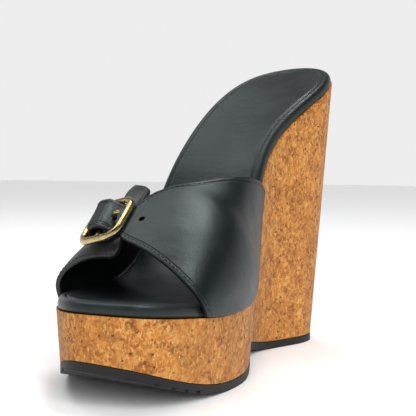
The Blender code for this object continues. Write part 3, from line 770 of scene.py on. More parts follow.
def add_stitches(name, piece, lines, sizes, mat):
    """Rows of stitches along parts of a strap's border, each given as its points and its outward sides."""
    runs = []
    for edge, away in lines:
        line, normals = stitch_line(piece, edge, away, sizes.stitch_inset)
        runs.append(stitch_run(line, normals, sizes))
    stitches = add_mesh(name, *join_shapes(runs), [mat])


def join_shapes(shapes):
    """One list of vertices and faces from several."""
    vertices, faces = [], []
    for more_vertices, more_faces in shapes:
        base = len(vertices)
        vertices += list(more_vertices)
        faces += [tuple(base + k for k in face) for face in more_faces]
    return vertices, faces


# Shader building
class Wire:
    """A socket, so that its maths is written as Python."""

    def __init__(self, paint, socket):
        self.paint = paint
        self.socket = socket

    def maths(self, operation, *values):
        return self.paint.node("ShaderNodeMath", {"operation": operation}, dict(enumerate(values)))["Value"]

    def __add__(self, other):
        return self.maths("ADD", self, other)

    __radd__ = __add__

    def __sub__(self, other):
        return self.maths("SUBTRACT", self, other)

    def __rsub__(self, other):
        return self.maths("SUBTRACT", other, self)

    def __mul__(self, other):
        return self.maths("MULTIPLY", self, other)

    __rmul__ = __mul__


class Made:
    """A node that has been made; its outputs are read by name or number."""

    def __init__(self, paint, node):
        self.paint = paint
        self.node = node

    def __getitem__(self, name):
        return Wire(self.paint, self.node.outputs[name])


class Paint:
    """The nodes of a material or a world, all made by node()."""

    def __init__(self, owner):
        self.owner = owner
        owner.use_nodes = True
        self.tree = owner.node_tree
        self.tree.nodes.clear()

    def node(self, kind, settings=None, values=None):
        made = self.tree.nodes.new(kind)
        for name, value in (settings or {}).items():
            if name == "stops":
                self.set_stops(made.color_ramp, value)
            else:
                setattr(made, name, value)
        for key, value in (values or {}).items():
            socket = made.inputs[key]
            if isinstance(value, Wire):
                self.tree.links.new(value.socket, socket)
            else:
                socket.default_value = value
        return Made(self, made)

    @staticmethod
    def set_stops(ramp, stops):
        while len(ramp.elements) < len(stops):
            ramp.elements.new(0.5)
        for element, (place, colour) in zip(ramp.elements, stops):
            element.position = place
            element.color = (*colour[:3], 1.0)

    def place(self):
        """The point on the object, in millimetres."""
        where = self.node("ShaderNodeTexCoord")["Object"]
        return self.scaled(where, (1 / MM, 1 / MM, 1 / MM))

    def vectors(self, operation, first, second):
        return self.node("ShaderNodeVectorMath", {"operation": operation}, {0: first, 1: second})["Vector"]

    def scaled(self, vector, scale):
        return self.vectors("MULTIPLY", vector, scale)

    def moved(self, vector, by, amount):
        """A vector pushed about by a colour noise around its middle."""
        middle = self.vectors("SUBTRACT", by, (0.5, 0.5, 0.5))
        return self.vectors("ADD", vector, self.scaled(middle, (amount, amount, amount)))

    def noise(self, where, scale, detail=3.0, roughness=0.5, output="Fac"):
        values = {"Vector": where, "Scale": scale, "Detail": detail, "Roughness": roughness}
        return self.node("ShaderNodeTexNoise", None, values)[output]

    def cells(self, where, scale, feature="F1", **values):
        values.update({"Vector": where, "Scale": scale})
        return self.node("ShaderNodeTexVoronoi", {"feature": feature}, values)

    def soft_cells(self, where, scale, smoothness):
        return self.cells(where, scale, "SMOOTH_F1", Smoothness=smoothness)

    def ramp(self, value, stops):
        return self.node("ShaderNodeValToRGB", {"stops": stops}, {"Fac": value})["Color"]

    def fade(self, value, low, high, start=0.0, end=1.0):
        """Smooth change from start to end as a value goes from low to high."""
        values = {"Value": value, "From Min": low, "From Max": high, "To Min": start, "To Max": end}
        return self.node("ShaderNodeMapRange", {"interpolation_type": "SMOOTHSTEP"}, values)["Result"]

    def split(self, colour):
        return self.node("ShaderNodeSeparateColor", None, {"Color": colour})

    def mix(self, factor, first, second, blend="MIX"):
        """Mix of two colours, each a Wire or a tuple."""
        values = {MIX_FACTOR: factor}
        for socket, colour in ((MIX_FIRST, first), (MIX_SECOND, second)):
            values[socket] = colour if isinstance(colour, Wire) else (*colour[:3], 1.0)
        return self.node("ShaderNodeMix", {"data_type": "RGBA", "blend_type": blend}, values)[MIX_RESULT]

    def measure(self, name):
        return self.node("ShaderNodeAttribute", {"attribute_name": name})["Fac"]

    def bump(self, height, strength, distance, under=None):
        values = {"Height": height, "Strength": strength, "Distance": distance}
        if under is not None:
            values["Normal"] = under
        return self.node("ShaderNodeBump", None, values)["Normal"]

    def finish(self, **sockets):
        """The surface shader; names are its sockets in lower case with underscores."""
        values = {}
        for name, value in sockets.items():
            values[name.replace("_", " ").title().replace("Ior", "IOR")] = value
        shader = self.node("ShaderNodeBsdfPrincipled", None, values)
        self.node("ShaderNodeOutputMaterial", None, {"Surface": shader["BSDF"]})
        return self.owner


def new_paint(name):
    """A new material's nodes, and the point on the object in millimetres."""
    paint = Paint(bpy.data.materials.new(name))
    return paint, paint.place()


def cork_paint(colours):
    """Agglomerated cork: soft-edged chips of close browns, dark pores, pale flecks, and a light wax."""
    paint, place = new_paint("cork_chips")
    warp = paint.noise(place, 0.30, 4.0, 0.6, "Color")
    fine_warp = paint.noise(place, 1.2, 3.0, 0.6, "Color")
    crumbled = paint.moved(paint.moved(place, warp, 4.5), fine_warp, 1.6)
    chips = paint.soft_cells(crumbled, 0.36, 0.20)
    chip = paint.split(chips["Color"])
    crumbs = paint.soft_cells(paint.moved(place, fine_warp, 1.3), 0.80, 0.25)
    crumb = paint.split(crumbs["Color"])
    body = paint.ramp(chip["Red"], [(0.0, colours.cork_mid), (0.32, colours.cork_warm),
                                    (0.74, colours.cork_light), (1.0, colours.cork_pale)])
    small = paint.ramp(crumb["Red"], [(0.0, colours.cork_dark), (0.20, colours.cork_mid),
                                      (0.46, colours.cork_warm), (0.78, colours.cork_light),
                                      (1.0, colours.cork_pale)])
    base = paint.mix(paint.fade(chip["Green"], 0.30, 0.70, 0.30, 0.80), body, small)
    cloud = paint.noise(place, 0.050, 3.0, 0.6)
    base = paint.mix(paint.fade(cloud, 0.35, 0.70, 0.0, 0.40), base, colours.cork_warm)
    grain = paint.noise(place, 1.5, 6.0, 0.75)
    shade = paint.ramp(grain, [(0.34, (0.40, 0.32, 0.26)), (0.47, (0.86, 0.83, 0.80)),
                               (0.62, (1.0, 1.0, 1.0))])
    base = paint.mix(0.90, base, shade, "MULTIPLY")
    slabs = paint.split(paint.soft_cells(paint.scaled(crumbled, (1.0, 1.0, 0.6)), 0.17, 0.12)["Color"])
    slab_shade = paint.ramp(slabs["Red"], [(0.0, (0.74, 0.68, 0.60)), (0.55, (0.96, 0.95, 0.93)),
                                           (1.0, (1.0, 1.0, 1.0))])
    base = paint.mix(0.85, base, slab_shade, "MULTIPLY")
    fibres = paint.noise(paint.moved(paint.scaled(place, (1.0, 1.0, 0.45)), warp, 2.0), 1.1, 3.0, 0.65)
    base = paint.mix(paint.fade(fibres, 0.53, 0.68, 0.0, 0.70), base, colours.cork_pale)
    pores = paint.cells(paint.moved(place, warp, 2.5), 0.34)
    pick = paint.split(pores["Color"])
    pore = (1 - paint.fade(pores["Distance"], 0.10, 0.26)) * paint.fade(pick["Blue"], 0.50, 0.56)
    specks = paint.cells(paint.moved(place, fine_warp, 1.0), 0.75)
    speck_pick = paint.split(specks["Color"])
    speck = (1 - paint.fade(specks["Distance"], 0.10, 0.28)) * paint.fade(speck_pick["Green"], 0.66, 0.72)
    base = paint.mix(speck * 0.75, base, colours.cork_dark)
    base = paint.mix(pore * 0.90, base, colours.cork_pore)
    height = grain * 0.5 + chip["Blue"] * 0.2 - speck * 0.4 - pore * 1.0
    normal = paint.bump(height, 0.5, 0.00022)
    return paint.finish(base_color=base, roughness=0.48 + 0.25 * grain + 0.15 * pore, normal=normal,
                        specular_ior_level=0.40)


def leather_height(paint, place, size):
    """Fine grain of smooth leather: small pebbles and hair-thin valleys."""
    warp = paint.noise(place, 0.9 / size, 2.0, 0.5, "Color")
    pebbled = paint.moved(place, warp, 0.8 * size)
    pebbles = paint.cells(pebbled, 1.15 / size, "DISTANCE_TO_EDGE")["Distance"]
    valleys = paint.fade(pebbles, 0.0, 0.16)
    return valleys * 0.6 + paint.noise(place, 2.2 / size, 4.0, 0.6) * 0.7


def leather_colour(paint, place, look, black, pale, shadow):
    """Black leather with its pale bloom and the shadow along its seam, and the masks of those three."""
    bloom = paint.fade(paint.noise(place, look.broad, 3.0, 0.55), *look.bloom)
    cloudy = paint.noise(place, look.cloud, 4.0, 0.6)
    rim = paint.measure("rim")
    start, full, fading, end = look.seam
    seam = paint.fade(rim, start, full) * (1 - paint.fade(rim, fading, end))
    base = paint.mix(bloom * look.bloom_share, black, pale)
    base = paint.mix(paint.fade(cloudy, *look.cloudy, 0.0, look.cloud_share), base, pale)
    return paint.mix(seam * look.seam_share, base, shadow), bloom, cloudy, seam


def upper_paint(colours):
    """Black leather with a cool grey bloom and painted shade along its stitch rows, finely grained, duller
    where it has been handled.
    """
    paint, place = new_paint("upper_leather")
    base, bloom, cloudy, seam = leather_colour(paint, place, UPPER_LEATHER, colours.leather,
                                               colours.leather_bloom, colours.seam_shade_and_edge_black)
    fine = leather_height(paint, place, 1.0)
    folds = paint.noise(paint.scaled(place, (1.0, 0.45, 1.0)), 0.16, 3.0, 0.5)
    soft = paint.bump(folds, 0.30, 0.0007)
    channel = paint.bump(1 - seam, 0.5, 0.00035, soft)
    normal = paint.bump(fine, 0.30, 0.00012, channel)
    roughness = 0.27 + 0.10 * bloom + 0.08 * cloudy + 0.04 * fine
    return paint.finish(base_color=base, roughness=roughness, normal=normal, specular_ior_level=0.5,
                        specular_tint=LEATHER_TINT)


def footbed_paint(colours):
    """Softer black leather under the foot, matt with faint wrinkles and pores, and painted shade along the
    pressed seam beside the rim.
    """
    paint, place = new_paint("footbed_leather")
    base, bloom, cloudy, _ = leather_colour(paint, place, FOOTBED_LEATHER, colours.footbed,
                                            colours.footbed_bloom, colours.seam_shade_and_edge_black)
    fine = leather_height(paint, place, 0.9)
    wrinkles = paint.noise(paint.scaled(place, (1.0, 0.22, 0.6)), 0.34, 3.0, 0.55)
    soft = paint.bump(wrinkles, 0.22, 0.0008)
    normal = paint.bump(fine, 0.28, 0.00011, soft)
    roughness = 0.33 + 0.12 * bloom + 0.08 * cloudy
    return paint.finish(base_color=base, roughness=roughness, normal=normal, specular_ior_level=0.45,
                        specular_tint=LEATHER_TINT)


def edge_paint(colours):
    """Black paint on the cut edges, a little uneven and glossier than the leather."""
    paint, place = new_paint("painted_edge")
    brush = paint.noise(place, 1.1, 3.0, 0.6)
    base = paint.mix(brush, colours.seam_shade_and_edge_black, colours.leather)
    normal = paint.bump(brush, 0.35, 0.00018)
    return paint.finish(base_color=base, roughness=0.34 + 0.16 * brush, normal=normal,
                        specular_ior_level=0.5, coat_weight=0.15, coat_roughness=0.25)


def lining_paint(colours):
    """Black suede-like lining, matt, with a short brushed nap."""
    paint, place = new_paint("strap_lining")
    nap = paint.noise(paint.scaled(place, (1.0, 0.5, 1.0)), 2.4, 4.0, 0.65)
    patch = paint.noise(place, 0.12, 3.0, 0.5)
    base = paint.mix(nap * 0.6 + patch * 0.4, colours.lining, colours.lining_nap)
    normal = paint.bump(nap, 0.45, 0.00016)
    return paint.finish(base_color=base, roughness=0.80 + 0.12 * nap, normal=normal, specular_ior_level=0.25)


def thread_paint(colours):
    """Waxed black thread with its twist."""
    paint, place = new_paint("waxed_thread")
    twist = paint.noise(place, 3.5, 2.0, 0.5)
    base = paint.mix(twist, colours.thread, colours.leather_bloom)
    normal = paint.bump(twist, 0.5, 0.0001)
    return paint.finish(base_color=base, roughness=0.42 + 0.2 * twist, normal=normal, specular_ior_level=0.5)


def rubber_paint(colours):
    """Black rubber, matt, with a faint moulded grain and dusty scuffs near the floor."""
    paint, place = new_paint("outsole_rubber")
    grain = paint.noise(place, 1.6, 4.0, 0.6)
    scuff = paint.noise(paint.scaled(place, (0.5, 0.5, 2.0)), 0.22, 4.0, 0.65)
    dust = paint.fade(scuff, 0.52, 0.75)
    base = paint.mix(dust * 0.55, colours.rubber, colours.rubber_dust)
    normal = paint.bump(grain, 0.4, 0.0002)
    return paint.finish(base_color=base, roughness=0.56 + 0.2 * dust + 0.08 * grain, normal=normal,
                        specular_ior_level=0.45)


def brass_paint(colours):
    """Antique brass: polished, browner in patches, with fine rubbing marks."""
    paint, place = new_paint("antique_brass")
    patch = paint.noise(place, 0.30, 4.0, 0.6)
    rub = paint.noise(paint.scaled(place, (0.6, 4.0, 1.2)), 1.4, 3.0, 0.6)
    tarnish = paint.fade(patch, 0.46, 0.72)
    base = paint.mix(tarnish * 0.65, colours.brass, colours.brass_tarnish)
    normal = paint.bump(rub, 0.18, 0.00006)
    return paint.finish(base_color=base, metallic=1.0, roughness=0.20 + 0.22 * tarnish + 0.06 * rub,
                        normal=normal)


def floor_paint(colours):
    """Plain pale floor."""
    paint, place = new_paint("studio_floor")
    mottle = paint.noise(place, 0.004, 2.0, 0.5)
    base = paint.mix(mottle * 0.3, colours.floor, colours.floor_shade)
    return paint.finish(base_color=base, roughness=0.62, specular_ior_level=0.25)


# What a user would change
def colour_choice(name, description, default):
    return bpy.props.FloatVectorProperty(name=name, description=description, default=default, size=3,
                                         subtype="COLOR", min=0.0, max=1.0)


def number_choice(name, description, default, low=0.0, **kind):
    return bpy.props.FloatProperty(name=name, description=description, default=default, min=low, **kind)


def length_choice(name, description, default):
    return number_choice(name, description, default, precision=5, unit="LENGTH", subtype="DISTANCE")


class SlideColours(bpy.types.PropertyGroup):
    """Colours of the materials."""

    cork_dark: colour_choice("Cork dark", "Darkest chips and joints", (0.116, 0.032, 0.005))
    cork_mid: colour_choice("Cork brown", "Brown chips", (0.262, 0.083, 0.011))
    cork_warm: colour_choice("Cork orange", "Most of the chips", (0.431, 0.159, 0.025))
    cork_light: colour_choice("Cork tan", "Light chips", (0.540, 0.236, 0.049))
    cork_pale: colour_choice("Cork pale", "Palest flecks", (0.632, 0.347, 0.097))
    cork_pore: colour_choice("Cork pore", "Pores and burnt specks", (0.046, 0.013, 0.003))
    leather: colour_choice("Upper leather", "Black of the upper", (0.0045, 0.0062, 0.0064))
    leather_bloom: colour_choice("Leather bloom", "Cool grey bloom of the upper", (0.0100, 0.0135, 0.0138))
    # Painted shade in the stitch channel beside the straps' rims and in the footbed's pressed seam; the same
    # colour is also the darker black of the painted cut edges
    seam_shade_and_edge_black: colour_choice("Seam shadow", "Along the seams and cut edges", (0.0020, 0.0022, 0.0022))
    footbed: colour_choice("Footbed leather", "Black of the footbed", (0.0055, 0.0072, 0.0074))
    footbed_bloom: colour_choice("Footbed bloom", "Grey bloom of the footbed", (0.0130, 0.0165, 0.0168))
    lining: colour_choice("Lining", "Lining of the straps", (0.0035, 0.0040, 0.0040))
    lining_nap: colour_choice("Lining nap", "Brushed nap of the lining", (0.0080, 0.0090, 0.0090))
    thread: colour_choice("Thread", "Stitches", (0.0050, 0.0058, 0.0058))
    rubber: colour_choice("Rubber", "Outsole", (0.0045, 0.0047, 0.0048))
    rubber_dust: colour_choice("Rubber dust", "Scuffed rubber", (0.0200, 0.0195, 0.0185))
    brass: colour_choice("Brass", "Polished brass", (0.560, 0.440, 0.220))
    brass_tarnish: colour_choice("Brass tarnish", "Tarnished brass", (0.200, 0.130, 0.055))
    floor: colour_choice("Floor", "Studio floor", (0.93, 0.93, 0.93))
    floor_shade: colour_choice("Floor shade", "Faint mottle of the floor", (0.90, 0.90, 0.90))


class SlideSizes(bpy.types.PropertyGroup):
    """Sizes of the trim."""

    stitch_length: length_choice("Stitch length", "Length of one stitch", 0.0017)
    stitch_gap: length_choice("Stitch gap", "Gap between two stitches", 0.0007)
    stitch_inset: length_choice("Stitch inset", "From a strap's edge to its stitches", 0.0016)
    thread_radius: length_choice("Thread radius", "Half the thread's thickness", 0.00020)
    edge_round: length_choice("Edge rounding", "Rounding of the straps' cut edges", 0.00035)
    centre_bar_radius: length_choice("Centre bar radius", "Buckle's centre bar", CENTRE_BAR_RADIUS)
    prong_radius: length_choice("Prong radius", "Buckle's prong", PRONG_RADIUS)


class SlideStage(bpy.types.PropertyGroup):
    """Camera and light."""

    lens: number_choice("Lens", "Focal length in millimetres", 88.0, low=10.0, max=300.0)
    key_power: number_choice("Key light", "Power of the large front light", 2.0, unit="POWER")
    strip_power: number_choice("Strip light", "Power of the long light overhead", 6.5, unit="POWER")
    heel_power: number_choice("Heel light", "Power of the light for the footbed", 3.0, unit="POWER")
    day_strength: number_choice("Day light", "Strength of the even daylight", 3.1)
    room_strength: number_choice("Room light", "Strength of the pale room", 0.85)
    floor_size: length_choice("Floor size", "Side of the floor", 6.0)


def aim(item, target, along=(0.0, 0.0, 1.0)):
    """Turns a camera or a light to a point, with its upright side along a direction."""
    back = (item.location - target).normalized()
    side = Vector(along).cross(back).normalized()
    turn = Matrix((side, back.cross(side), back)).transposed()
    item.rotation_mode = "QUATERNION"
    item.rotation_quaternion = turn.to_quaternion()


def add_light(name, target, lamp, power):
    """A rectangular light at a direction and distance from the shoe's middle."""
    data = bpy.data.lights.new(name, "AREA")
    data.shape = "RECTANGLE"
    data.size, data.size_y = lamp.width, lamp.length
    data.energy = power
    item = new_item(name, data, target + Vector(lamp.direction).normalized() * lamp.distance)
    item.visible_glossy = lamp.gloss
    aim(item, target, lamp.along)


def add_room(strength):
    """Even pale room that is darker overhead, so that the black leather stays black."""
    paint = Paint(bpy.data.worlds.new("room"))
    around = paint.node("ShaderNodeTexCoord")["Generated"]
    height = paint.node("ShaderNodeSeparateXYZ", None, {"Vector": around})["Z"]
    light = paint.fade(height, *ROOM_FADE, strength, strength * ROOM_CEILING)
    room = paint.node("ShaderNodeBackground", None, {"Color": (1.0, 1.0, 1.0, 1.0), "Strength": light})
    paint.node("ShaderNodeOutputWorld", None, {"Surface": room["Background"]})
    bpy.context.scene.world = paint.owner


class SLIDE_OT_stage(bpy.types.Operator):
    """Floor, soft studio light and the photograph's camera"""

    bl_idname = "slide.stage"
    bl_label = "Stage"

    def execute(self, context):
        scene = context.scene
        stage = scene.slide_stage
        half = stage.floor_size / 2
        corners = [(-half, -half, 0), (half, -half, 0), (half, half, 0), (-half, half, 0)]
        floor = new_solid("floor", corners, [(0, 1, 2, 3)], [floor_paint(scene.slide_colours)])

        low, high = CAD_BOX
        middle = Vector((low + high) / 2)
        camera = new_item("camera", bpy.data.cameras.new("camera"), Vector(CAMERA_PLACE) + Vector(SHIFT))
        camera.data.lens = stage.lens
        camera.data.sensor_width = SENSOR
        camera.data.clip_start = CAMERA_CLIP
        aim(camera, middle)
        scene.camera = camera

        add_light("key_light", middle, KEY_LAMP, stage.key_power)
        add_light("strip_light", middle, STRIP_LAMP, stage.strip_power)
        add_light("heel_light", middle, HEEL_LAMP, stage.heel_power)
        lamp = bpy.data.lights.new("day_light", "SUN")
        sun = new_item("day_light", lamp, middle + Vector(DAY_DIRECTION))
        sun.data.energy = stage.day_strength
        sun.data.angle = DAY_ANGLE
        sun.visible_glossy = False
        aim(sun, middle)
        add_room(stage.room_strength)
        scene.view_settings.view_transform = "Standard"
        return {"FINISHED"}


def dress_node(name, mat):
    """Gives a node of the frame its finish."""
    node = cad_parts[name]
    node.data.materials.clear()
    node.data.materials.append(mat)


class SLIDE_OT_wedge(bpy.types.Operator):
    """Cork finish of the wedge"""

    bl_idname = "slide.wedge"
    bl_label = "Cork wedge"

    def execute(self, context):
        dress_node("cork_wedge", cork_paint(context.scene.slide_colours))
        return {"FINISHED"}


class SLIDE_OT_outsole(bpy.types.Operator):
    """Rubber finish of the outsole"""

    bl_idname = "slide.outsole"
    bl_label = "Outsole"

    def execute(self, context):
        dress_node("outsole", rubber_paint(context.scene.slide_colours))
        return {"FINISHED"}


def footbed_shape():
    """Vertices and faces of the padded footbed, with each vertex's distance from the rim."""
    inset = footbed_inset()
    rings, rims = [], []
    for rim in RIM:
        flat = TOP_RING - TOP_OUTWARD * (inset + rim.inset * FOOTBED_THICKNESS)[:, None]
        normal = top_slope_normal(flat[:, 0])
        lift = CLEARANCE + rim.rise * FOOTBED_THICKNESS
        rings.append(np.column_stack([flat, top_line(flat[:, 0])]) + normal * lift)
        rims.append(np.full(len(flat), rim.inset * FOOTBED_THICKNESS))
    count = 2 * SIDE_STEPS
    vertices = [point for ring in rings for point in ring]
    rim_values = list(np.concatenate(rims))
    faces = []
    for level in range(len(rings) - 1):
        low, high = level * count, (level + 1) * count
        for i in range(count):
            j = (i + 1) % count
            faces.append((low + i, low + j, high + j, high + i))
    for ring, start, sink in ((rings[0], 0, 0.0), (rings[-1], (len(rings) - 1) * count, FOOTBED_CUP)):
        base = len(vertices)
        inner, inner_rims = across_points(ring, sink)
        vertices += inner
        rim_values += inner_rims
        faces += across_faces(start, base)
    return np.array(vertices), faces, rim_values


def across_points(ring, sink):
    """Points between the sides of a ring, sunk towards the middle."""
    shares = (1 - np.cos(np.linspace(0, math.pi, ACROSS_STEPS + 2)[1:-1])) / 2
    points, rims = [], []
    for i in range(1, SIDE_STEPS):
        medial, lateral = ring[i], ring[2 * SIDE_STEPS - i]
        width = np.linalg.norm(medial - lateral)
        x = medial[0] + (lateral[0] - medial[0]) * shares
        bowl = sink * min(1.0, 2 * width / BALL_WIDTH) * (1 - (2 * shares - 1) ** 2)
        row = medial + (lateral - medial) * shares[:, None] - top_slope_normal(x) * bowl[:, None]
        points += list(row)
        rims += list(RIM[-1].inset * FOOTBED_THICKNESS + width * np.minimum(shares, 1 - shares))
    return points, rims


def across_faces(ring_start, columns):
    """Faces that close a ring from its medial to its lateral side, over rows of inner points."""
    count = 2 * SIDE_STEPS

    def row(i):
        if i in (0, SIDE_STEPS):
            return [ring_start + i]
        inner = [columns + (i - 1) * ACROSS_STEPS + k for k in range(ACROSS_STEPS)]
        return [ring_start + i] + inner + [ring_start + count - i]

    faces = []
    for i in range(SIDE_STEPS):
        here, there = row(i), row(i + 1)
        if len(here) == 1:
            faces += [(here[0], there[k], there[k + 1]) for k in range(len(there) - 1)]
        elif len(there) == 1:
            faces += [(here[k], there[0], here[k + 1]) for k in range(len(here) - 1)]
        else:
            faces += [(here[k], there[k], there[k + 1], here[k + 1]) for k in range(len(here) - 1)]
    return faces


class SLIDE_OT_footbed(bpy.types.Operator):
    """Padded leather footbed with its rolled rim and pressed seam"""

    bl_idname = "slide.footbed"
    bl_label = "Footbed"

    def execute(self, context):
        vertices, faces, rims = footbed_shape()
        piece = add_mesh("footbed_leather", vertices, faces, [footbed_paint(context.scene.slide_colours)],
                         smooth_angle=FOOTBED_SMOOTH_ANGLE)
        flip_outwards(piece)
        add_measure(piece, "rim", rims)
        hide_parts("footbed")
        return {"FINISHED"}


def strap_materials(colours):
    return [upper_paint(colours), edge_paint(colours), lining_paint(colours)]


def cut_hole(piece, middle, axis, mat):
    """Punches a round hole through a strap, and leaves no tool behind."""
    reach = 2 * UPPER_WALL * np.asarray(axis) / np.linalg.norm(axis)
    vertices, faces = rod_shape([middle - reach, middle + reach], [HOLE_RADIUS] * 2, PUNCH_SIDES)
    tool = new_solid("punch", np.asarray(vertices) + SHIFT, faces, [mat])
    flip_outwards(tool)
    step = piece.modifiers.new("punch", "BOOLEAN")
    step.operation = "DIFFERENCE"
    step.solver = "EXACT"
    step.object = tool
    graph = bpy.context.evaluated_depsgraph_get()
    cut = bpy.data.meshes.new_from_object(piece.evaluated_get(graph))
    piece.modifiers.clear()
    piece.data = cut
    bpy.data.objects.remove(tool, do_unlink=True)


class SLIDE_OT_band(bpy.types.Operator):
    """Wide medial band of the upper, from the medial edge to its tail in the buckle"""

    bl_idname = "slide.band"
    bl_label = "Medial band"

    def execute(self, context):
        strap = Band()
        wide = np.linspace(0.0, BAND_NECK_START, BAND_ROWS + 1)
        narrow = np.linspace(BAND_NECK_START, BAND_END, NECK_ROWS + 1)
        turn = np.concatenate([wide, narrow[1:]])
        rear, front = band_stations(turn)
        share = np.linspace(0.0, 1.0, BAND_COLUMNS + 1)
        station = rear[:, None] + (front - rear)[:, None] * share[None, :]
        turns = np.repeat(turn[:, None], BAND_COLUMNS + 1, axis=1)
        materials = strap_materials(context.scene.slide_colours)
        sizes = context.scene.slide_sizes
        piece, edge, away = strap_piece("medial_band", strap, station, turns, sizes.edge_round, materials)
        last = len(turn) - BAND_SEAM_MARGIN
        front = slice(BAND_COLUMNS + BAND_SEAM_MARGIN, BAND_COLUMNS + last)
        rear = slice(-last, -BAND_SEAM_MARGIN)
        add_stitches("band_stitches", piece, [(edge[front], away[front]), (edge[rear], away[rear])], sizes,
                     thread_paint(context.scene.slide_colours))
        middle = SEAT.at(0.0, HOLE_OFFSET, hump(HOLE_OFFSET) - UPPER_WALL / 2)
        cut_hole(piece, middle, SEAT.out - SEAT.side * hump_slope(HOLE_OFFSET), materials[1])
        spare_station, spare_turn = SEAT.on_vault(0.0, SPARE_HOLE_OFFSET)
        out = vault_normal(spare_station, spare_turn)[0]
        cut_hole(piece, vault(spare_station, spare_turn)[0] - out * UPPER_WALL / 2, out, materials[1])
        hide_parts("upper")
        return {"FINISHED"}


class SLIDE_OT_strap(bpy.types.Operator):
    """Lateral strap of the upper, from the lateral edge to under the buckle"""

    bl_idname = "slide.strap"
    bl_label = "Lateral strap"

    def execute(self, context):
        strap = LateralStrap()
        down = np.linspace(0.0, 1.0, STRAP_ROWS + 1)[:, None]
        straight = np.linspace(0.0, 1 - CORNER_SHARE, STRAP_COLUMNS + 1 - CORNER_COLUMNS)
        corner = 1 - CORNER_SHARE + CORNER_SHARE * np.sin(np.linspace(0.0, math.pi / 2, CORNER_COLUMNS + 1))
        share = np.concatenate([straight, corner[1:]])[None, :]
        end = strap.end_turn(share)
        turns = end + (180 - end) * down
        shares = np.repeat(share, STRAP_ROWS + 1, axis=0)
        station, _ = strap.place(turns.ravel(), shares.ravel())
        sizes = context.scene.slide_sizes
        colours = context.scene.slide_colours
        piece, edge, away = strap_piece("lateral_strap", strap, station.reshape(turns.shape), turns,
                                        sizes.edge_round, strap_materials(colours))
        last = STRAP_ROWS - STRAP_SEAM_MARGIN
        end_and_front = slice(STRAP_SEAM_MARGIN, STRAP_COLUMNS + last)
        rear = slice(-last, -STRAP_SEAM_MARGIN)
        lines = [(edge[end_and_front], away[end_and_front]), (edge[rear], away[rear])]
        add_stitches("strap_stitches", piece, lines, sizes, thread_paint(colours))
        return {"FINISHED"}


def rounded_rectangle(length, width, corner, steps):
    """Centre line of a rounded rectangle with its outward directions, points evenly spaced."""
    line = []
    for quarter in range(4):
        sign_a = 1 if quarter in (0, 3) else -1
        sign_b = 1 if quarter in (0, 1) else -1
        for k in range(steps):
            angle = math.pi / 2 * (quarter + k / (steps - 1))
            out_a, out_b = math.cos(angle), math.sin(angle)
            line.append((sign_a * (length / 2 - corner) + corner * out_a,
                         sign_b * (width / 2 - corner) + corner * out_b, out_a, out_b))
    closed = np.array(line + line[:1])
    run = run_along(closed[:, :2])
    even = rows_at(np.linspace(0.0, run[-1], FRAME_STEPS + 1)[:-1], run, closed)
    even[:, 2:] = unit(even[:, 2:])
    return even


def softened(section, rounds):
    """A closed section with its corners cut back again and again."""
    points = np.array(section, float)
    for cut in rounds:
        ahead = np.roll(points, -1, axis=0)
        points = np.stack([points + (ahead - points) * cut, ahead - (ahead - points) * cut], axis=1)
        points = points.reshape(-1, 2)
    return points


def tube_faces(rings, sides, closed):
    """Quads between the rings of a tube."""
    faces = []
    count = rings if closed else rings - 1
    for i in range(count):
        here, there = i * sides, ((i + 1) % rings) * sides
        for k in range(sides):
            m = (k + 1) % sides
            faces.append((here + k, there + k, there + m, here + m))
    return faces


def rod_shape(path, radii, sides):
    """A round rod along a path, with flat ends."""
    path = [Vector(p) for p in path]
    vertices = []
    cross = None
    for i, (point, radius) in enumerate(zip(path, radii)):
        ahead = path[min(i + 1, len(path) - 1)] - path[max(i - 1, 0)]
        ahead.normalize()
        if cross is None:
            cross = ahead.orthogonal()
        cross = (cross - ahead * cross.dot(ahead)).normalized()
        other = ahead.cross(cross)
        for k in range(sides):
            angle = 2 * math.pi * k / sides
            vertices.append(tuple(point + (cross * math.cos(angle) + other * math.sin(angle)) * radius))
    faces = tube_faces(len(path), sides, False)
    faces.append(tuple(range(sides - 1, -1, -1)))
    faces.append(tuple((len(path) - 1) * sides + k for k in range(sides)))
    return vertices, faces


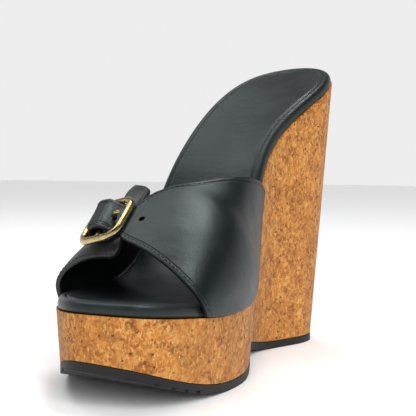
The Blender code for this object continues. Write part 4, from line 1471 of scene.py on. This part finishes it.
class SLIDE_OT_buckle(bpy.types.Operator):
    """Brass buckle: bevelled frame, centre bar and prong"""

    bl_idname = "slide.buckle"
    bl_label = "Buckle"

    def execute(self, context):
        sizes = context.scene.slide_sizes
        brass = brass_paint(context.scene.slide_colours)
        half = BUCKLE_BAR / 2
        path = rounded_rectangle(BUCKLE_LENGTH - BUCKLE_BAR, BUCKLE_WIDTH - BUCKLE_BAR,
                                 BUCKLE_CORNER - half, FRAME_CORNER_STEPS)
        section = softened(BAR_SECTION, FRAME_CUTS)
        vertices = []
        for a, b, out_a, out_b in path:
            for out, up in section:
                vertices.append(SEAT.at(a + out * half * out_a, b + out * half * out_b,
                                        CLEARANCE + up * BUCKLE_THICKNESS))
        faces = tube_faces(len(path), len(section), True)
        ring = add_mesh("buckle_ring", vertices, faces, [brass])
        flip_outwards(ring)
        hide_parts("buckle_frame")

        reach = BUCKLE_LENGTH / 2 - half
        along = np.linspace(-reach, reach, CENTRE_BAR_RINGS)
        shape = rod_shape([SEAT.at(a, 0.0, CENTRE_BAR_HEIGHT) for a in along],
                          [sizes.centre_bar_radius] * CENTRE_BAR_RINGS, ROD_SIDES)
        bar = add_mesh("centre_bar", *shape, [brass])
        flip_outwards(bar)

        under = CENTRE_BAR_HEIGHT - CENTRE_BAR_RADIUS - CLEARANCE - PRONG_RADIUS
        over = 2 * CLEARANCE + BUCKLE_THICKNESS + PRONG_RADIUS
        hole = float(hump(HOLE_OFFSET)) - UPPER_WALL / 2
        marks = {"bar": (0.0, under), "hole": (HOLE_OFFSET, hole),
                 "medial_bar": (BUCKLE_WIDTH / 2 - BUCKLE_BAR, over)}
        knots = [np.add(marks[bend.mark], (bend.across, bend.rise)) for bend in PRONG_BENDS]
        way = np.linspace(0, len(knots) - 1, PRONG_RINGS)
        line = cubic(np.arange(len(knots)), knots)(way)
        left = (way[-1] - way) / PRONG_TIP
        radii = sizes.prong_radius * np.sqrt(1 - np.clip(1 - left, 0, PRONG_TIP_END) ** 2)
        shape = rod_shape([SEAT.at(0.0, b, c) for b, c in line], radii, ROD_SIDES)
        prong = add_mesh("prong", *shape, [brass])
        flip_outwards(prong)
        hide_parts("buckle_prong")
        return {"FINISHED"}


STEPS = [SLIDE_OT_stage, SLIDE_OT_wedge, SLIDE_OT_outsole, SLIDE_OT_footbed, SLIDE_OT_band,
         SLIDE_OT_strap, SLIDE_OT_buckle]


class SLIDE_PT_panel(bpy.types.Panel):
    """Lists the slide's pieces and what can be changed"""

    bl_idname = "SLIDE_PT_panel"
    bl_label = "Wedge Slide"
    bl_space_type = "VIEW_3D"
    bl_region_type = "UI"
    bl_category = "Wedge Slide"

    def draw(self, context):
        for group in (context.scene.slide_sizes, context.scene.slide_stage, context.scene.slide_colours):
            box = self.layout.box()
            for name in group.__annotations__:
                box.prop(group, name)
        for step in STEPS:
            self.layout.operator(step.bl_idname)


GROUPS = {"slide_colours": SlideColours, "slide_sizes": SlideSizes, "slide_stage": SlideStage}


def register():
    for group in GROUPS.values():
        bpy.utils.register_class(group)
    for name, group in GROUPS.items():
        setattr(bpy.types.Scene, name, bpy.props.PointerProperty(type=group))
    for step in STEPS:
        bpy.utils.register_class(step)
    bpy.utils.register_class(SLIDE_PT_panel)


def unregister():
    bpy.utils.unregister_class(SLIDE_PT_panel)
    for step in reversed(STEPS):
        bpy.utils.unregister_class(step)
    for name in GROUPS:
        delattr(bpy.types.Scene, name)
    for group in reversed(list(GROUPS.values())):
        bpy.utils.unregister_class(group)


def main():
    register()
    bpy.ops.slide.stage()
    bpy.ops.slide.wedge()
    bpy.ops.slide.outsole()
    bpy.ops.slide.footbed()
    bpy.ops.slide.band()
    bpy.ops.slide.strap()
    bpy.ops.slide.buckle()


if __name__ == "__main__":
    main()
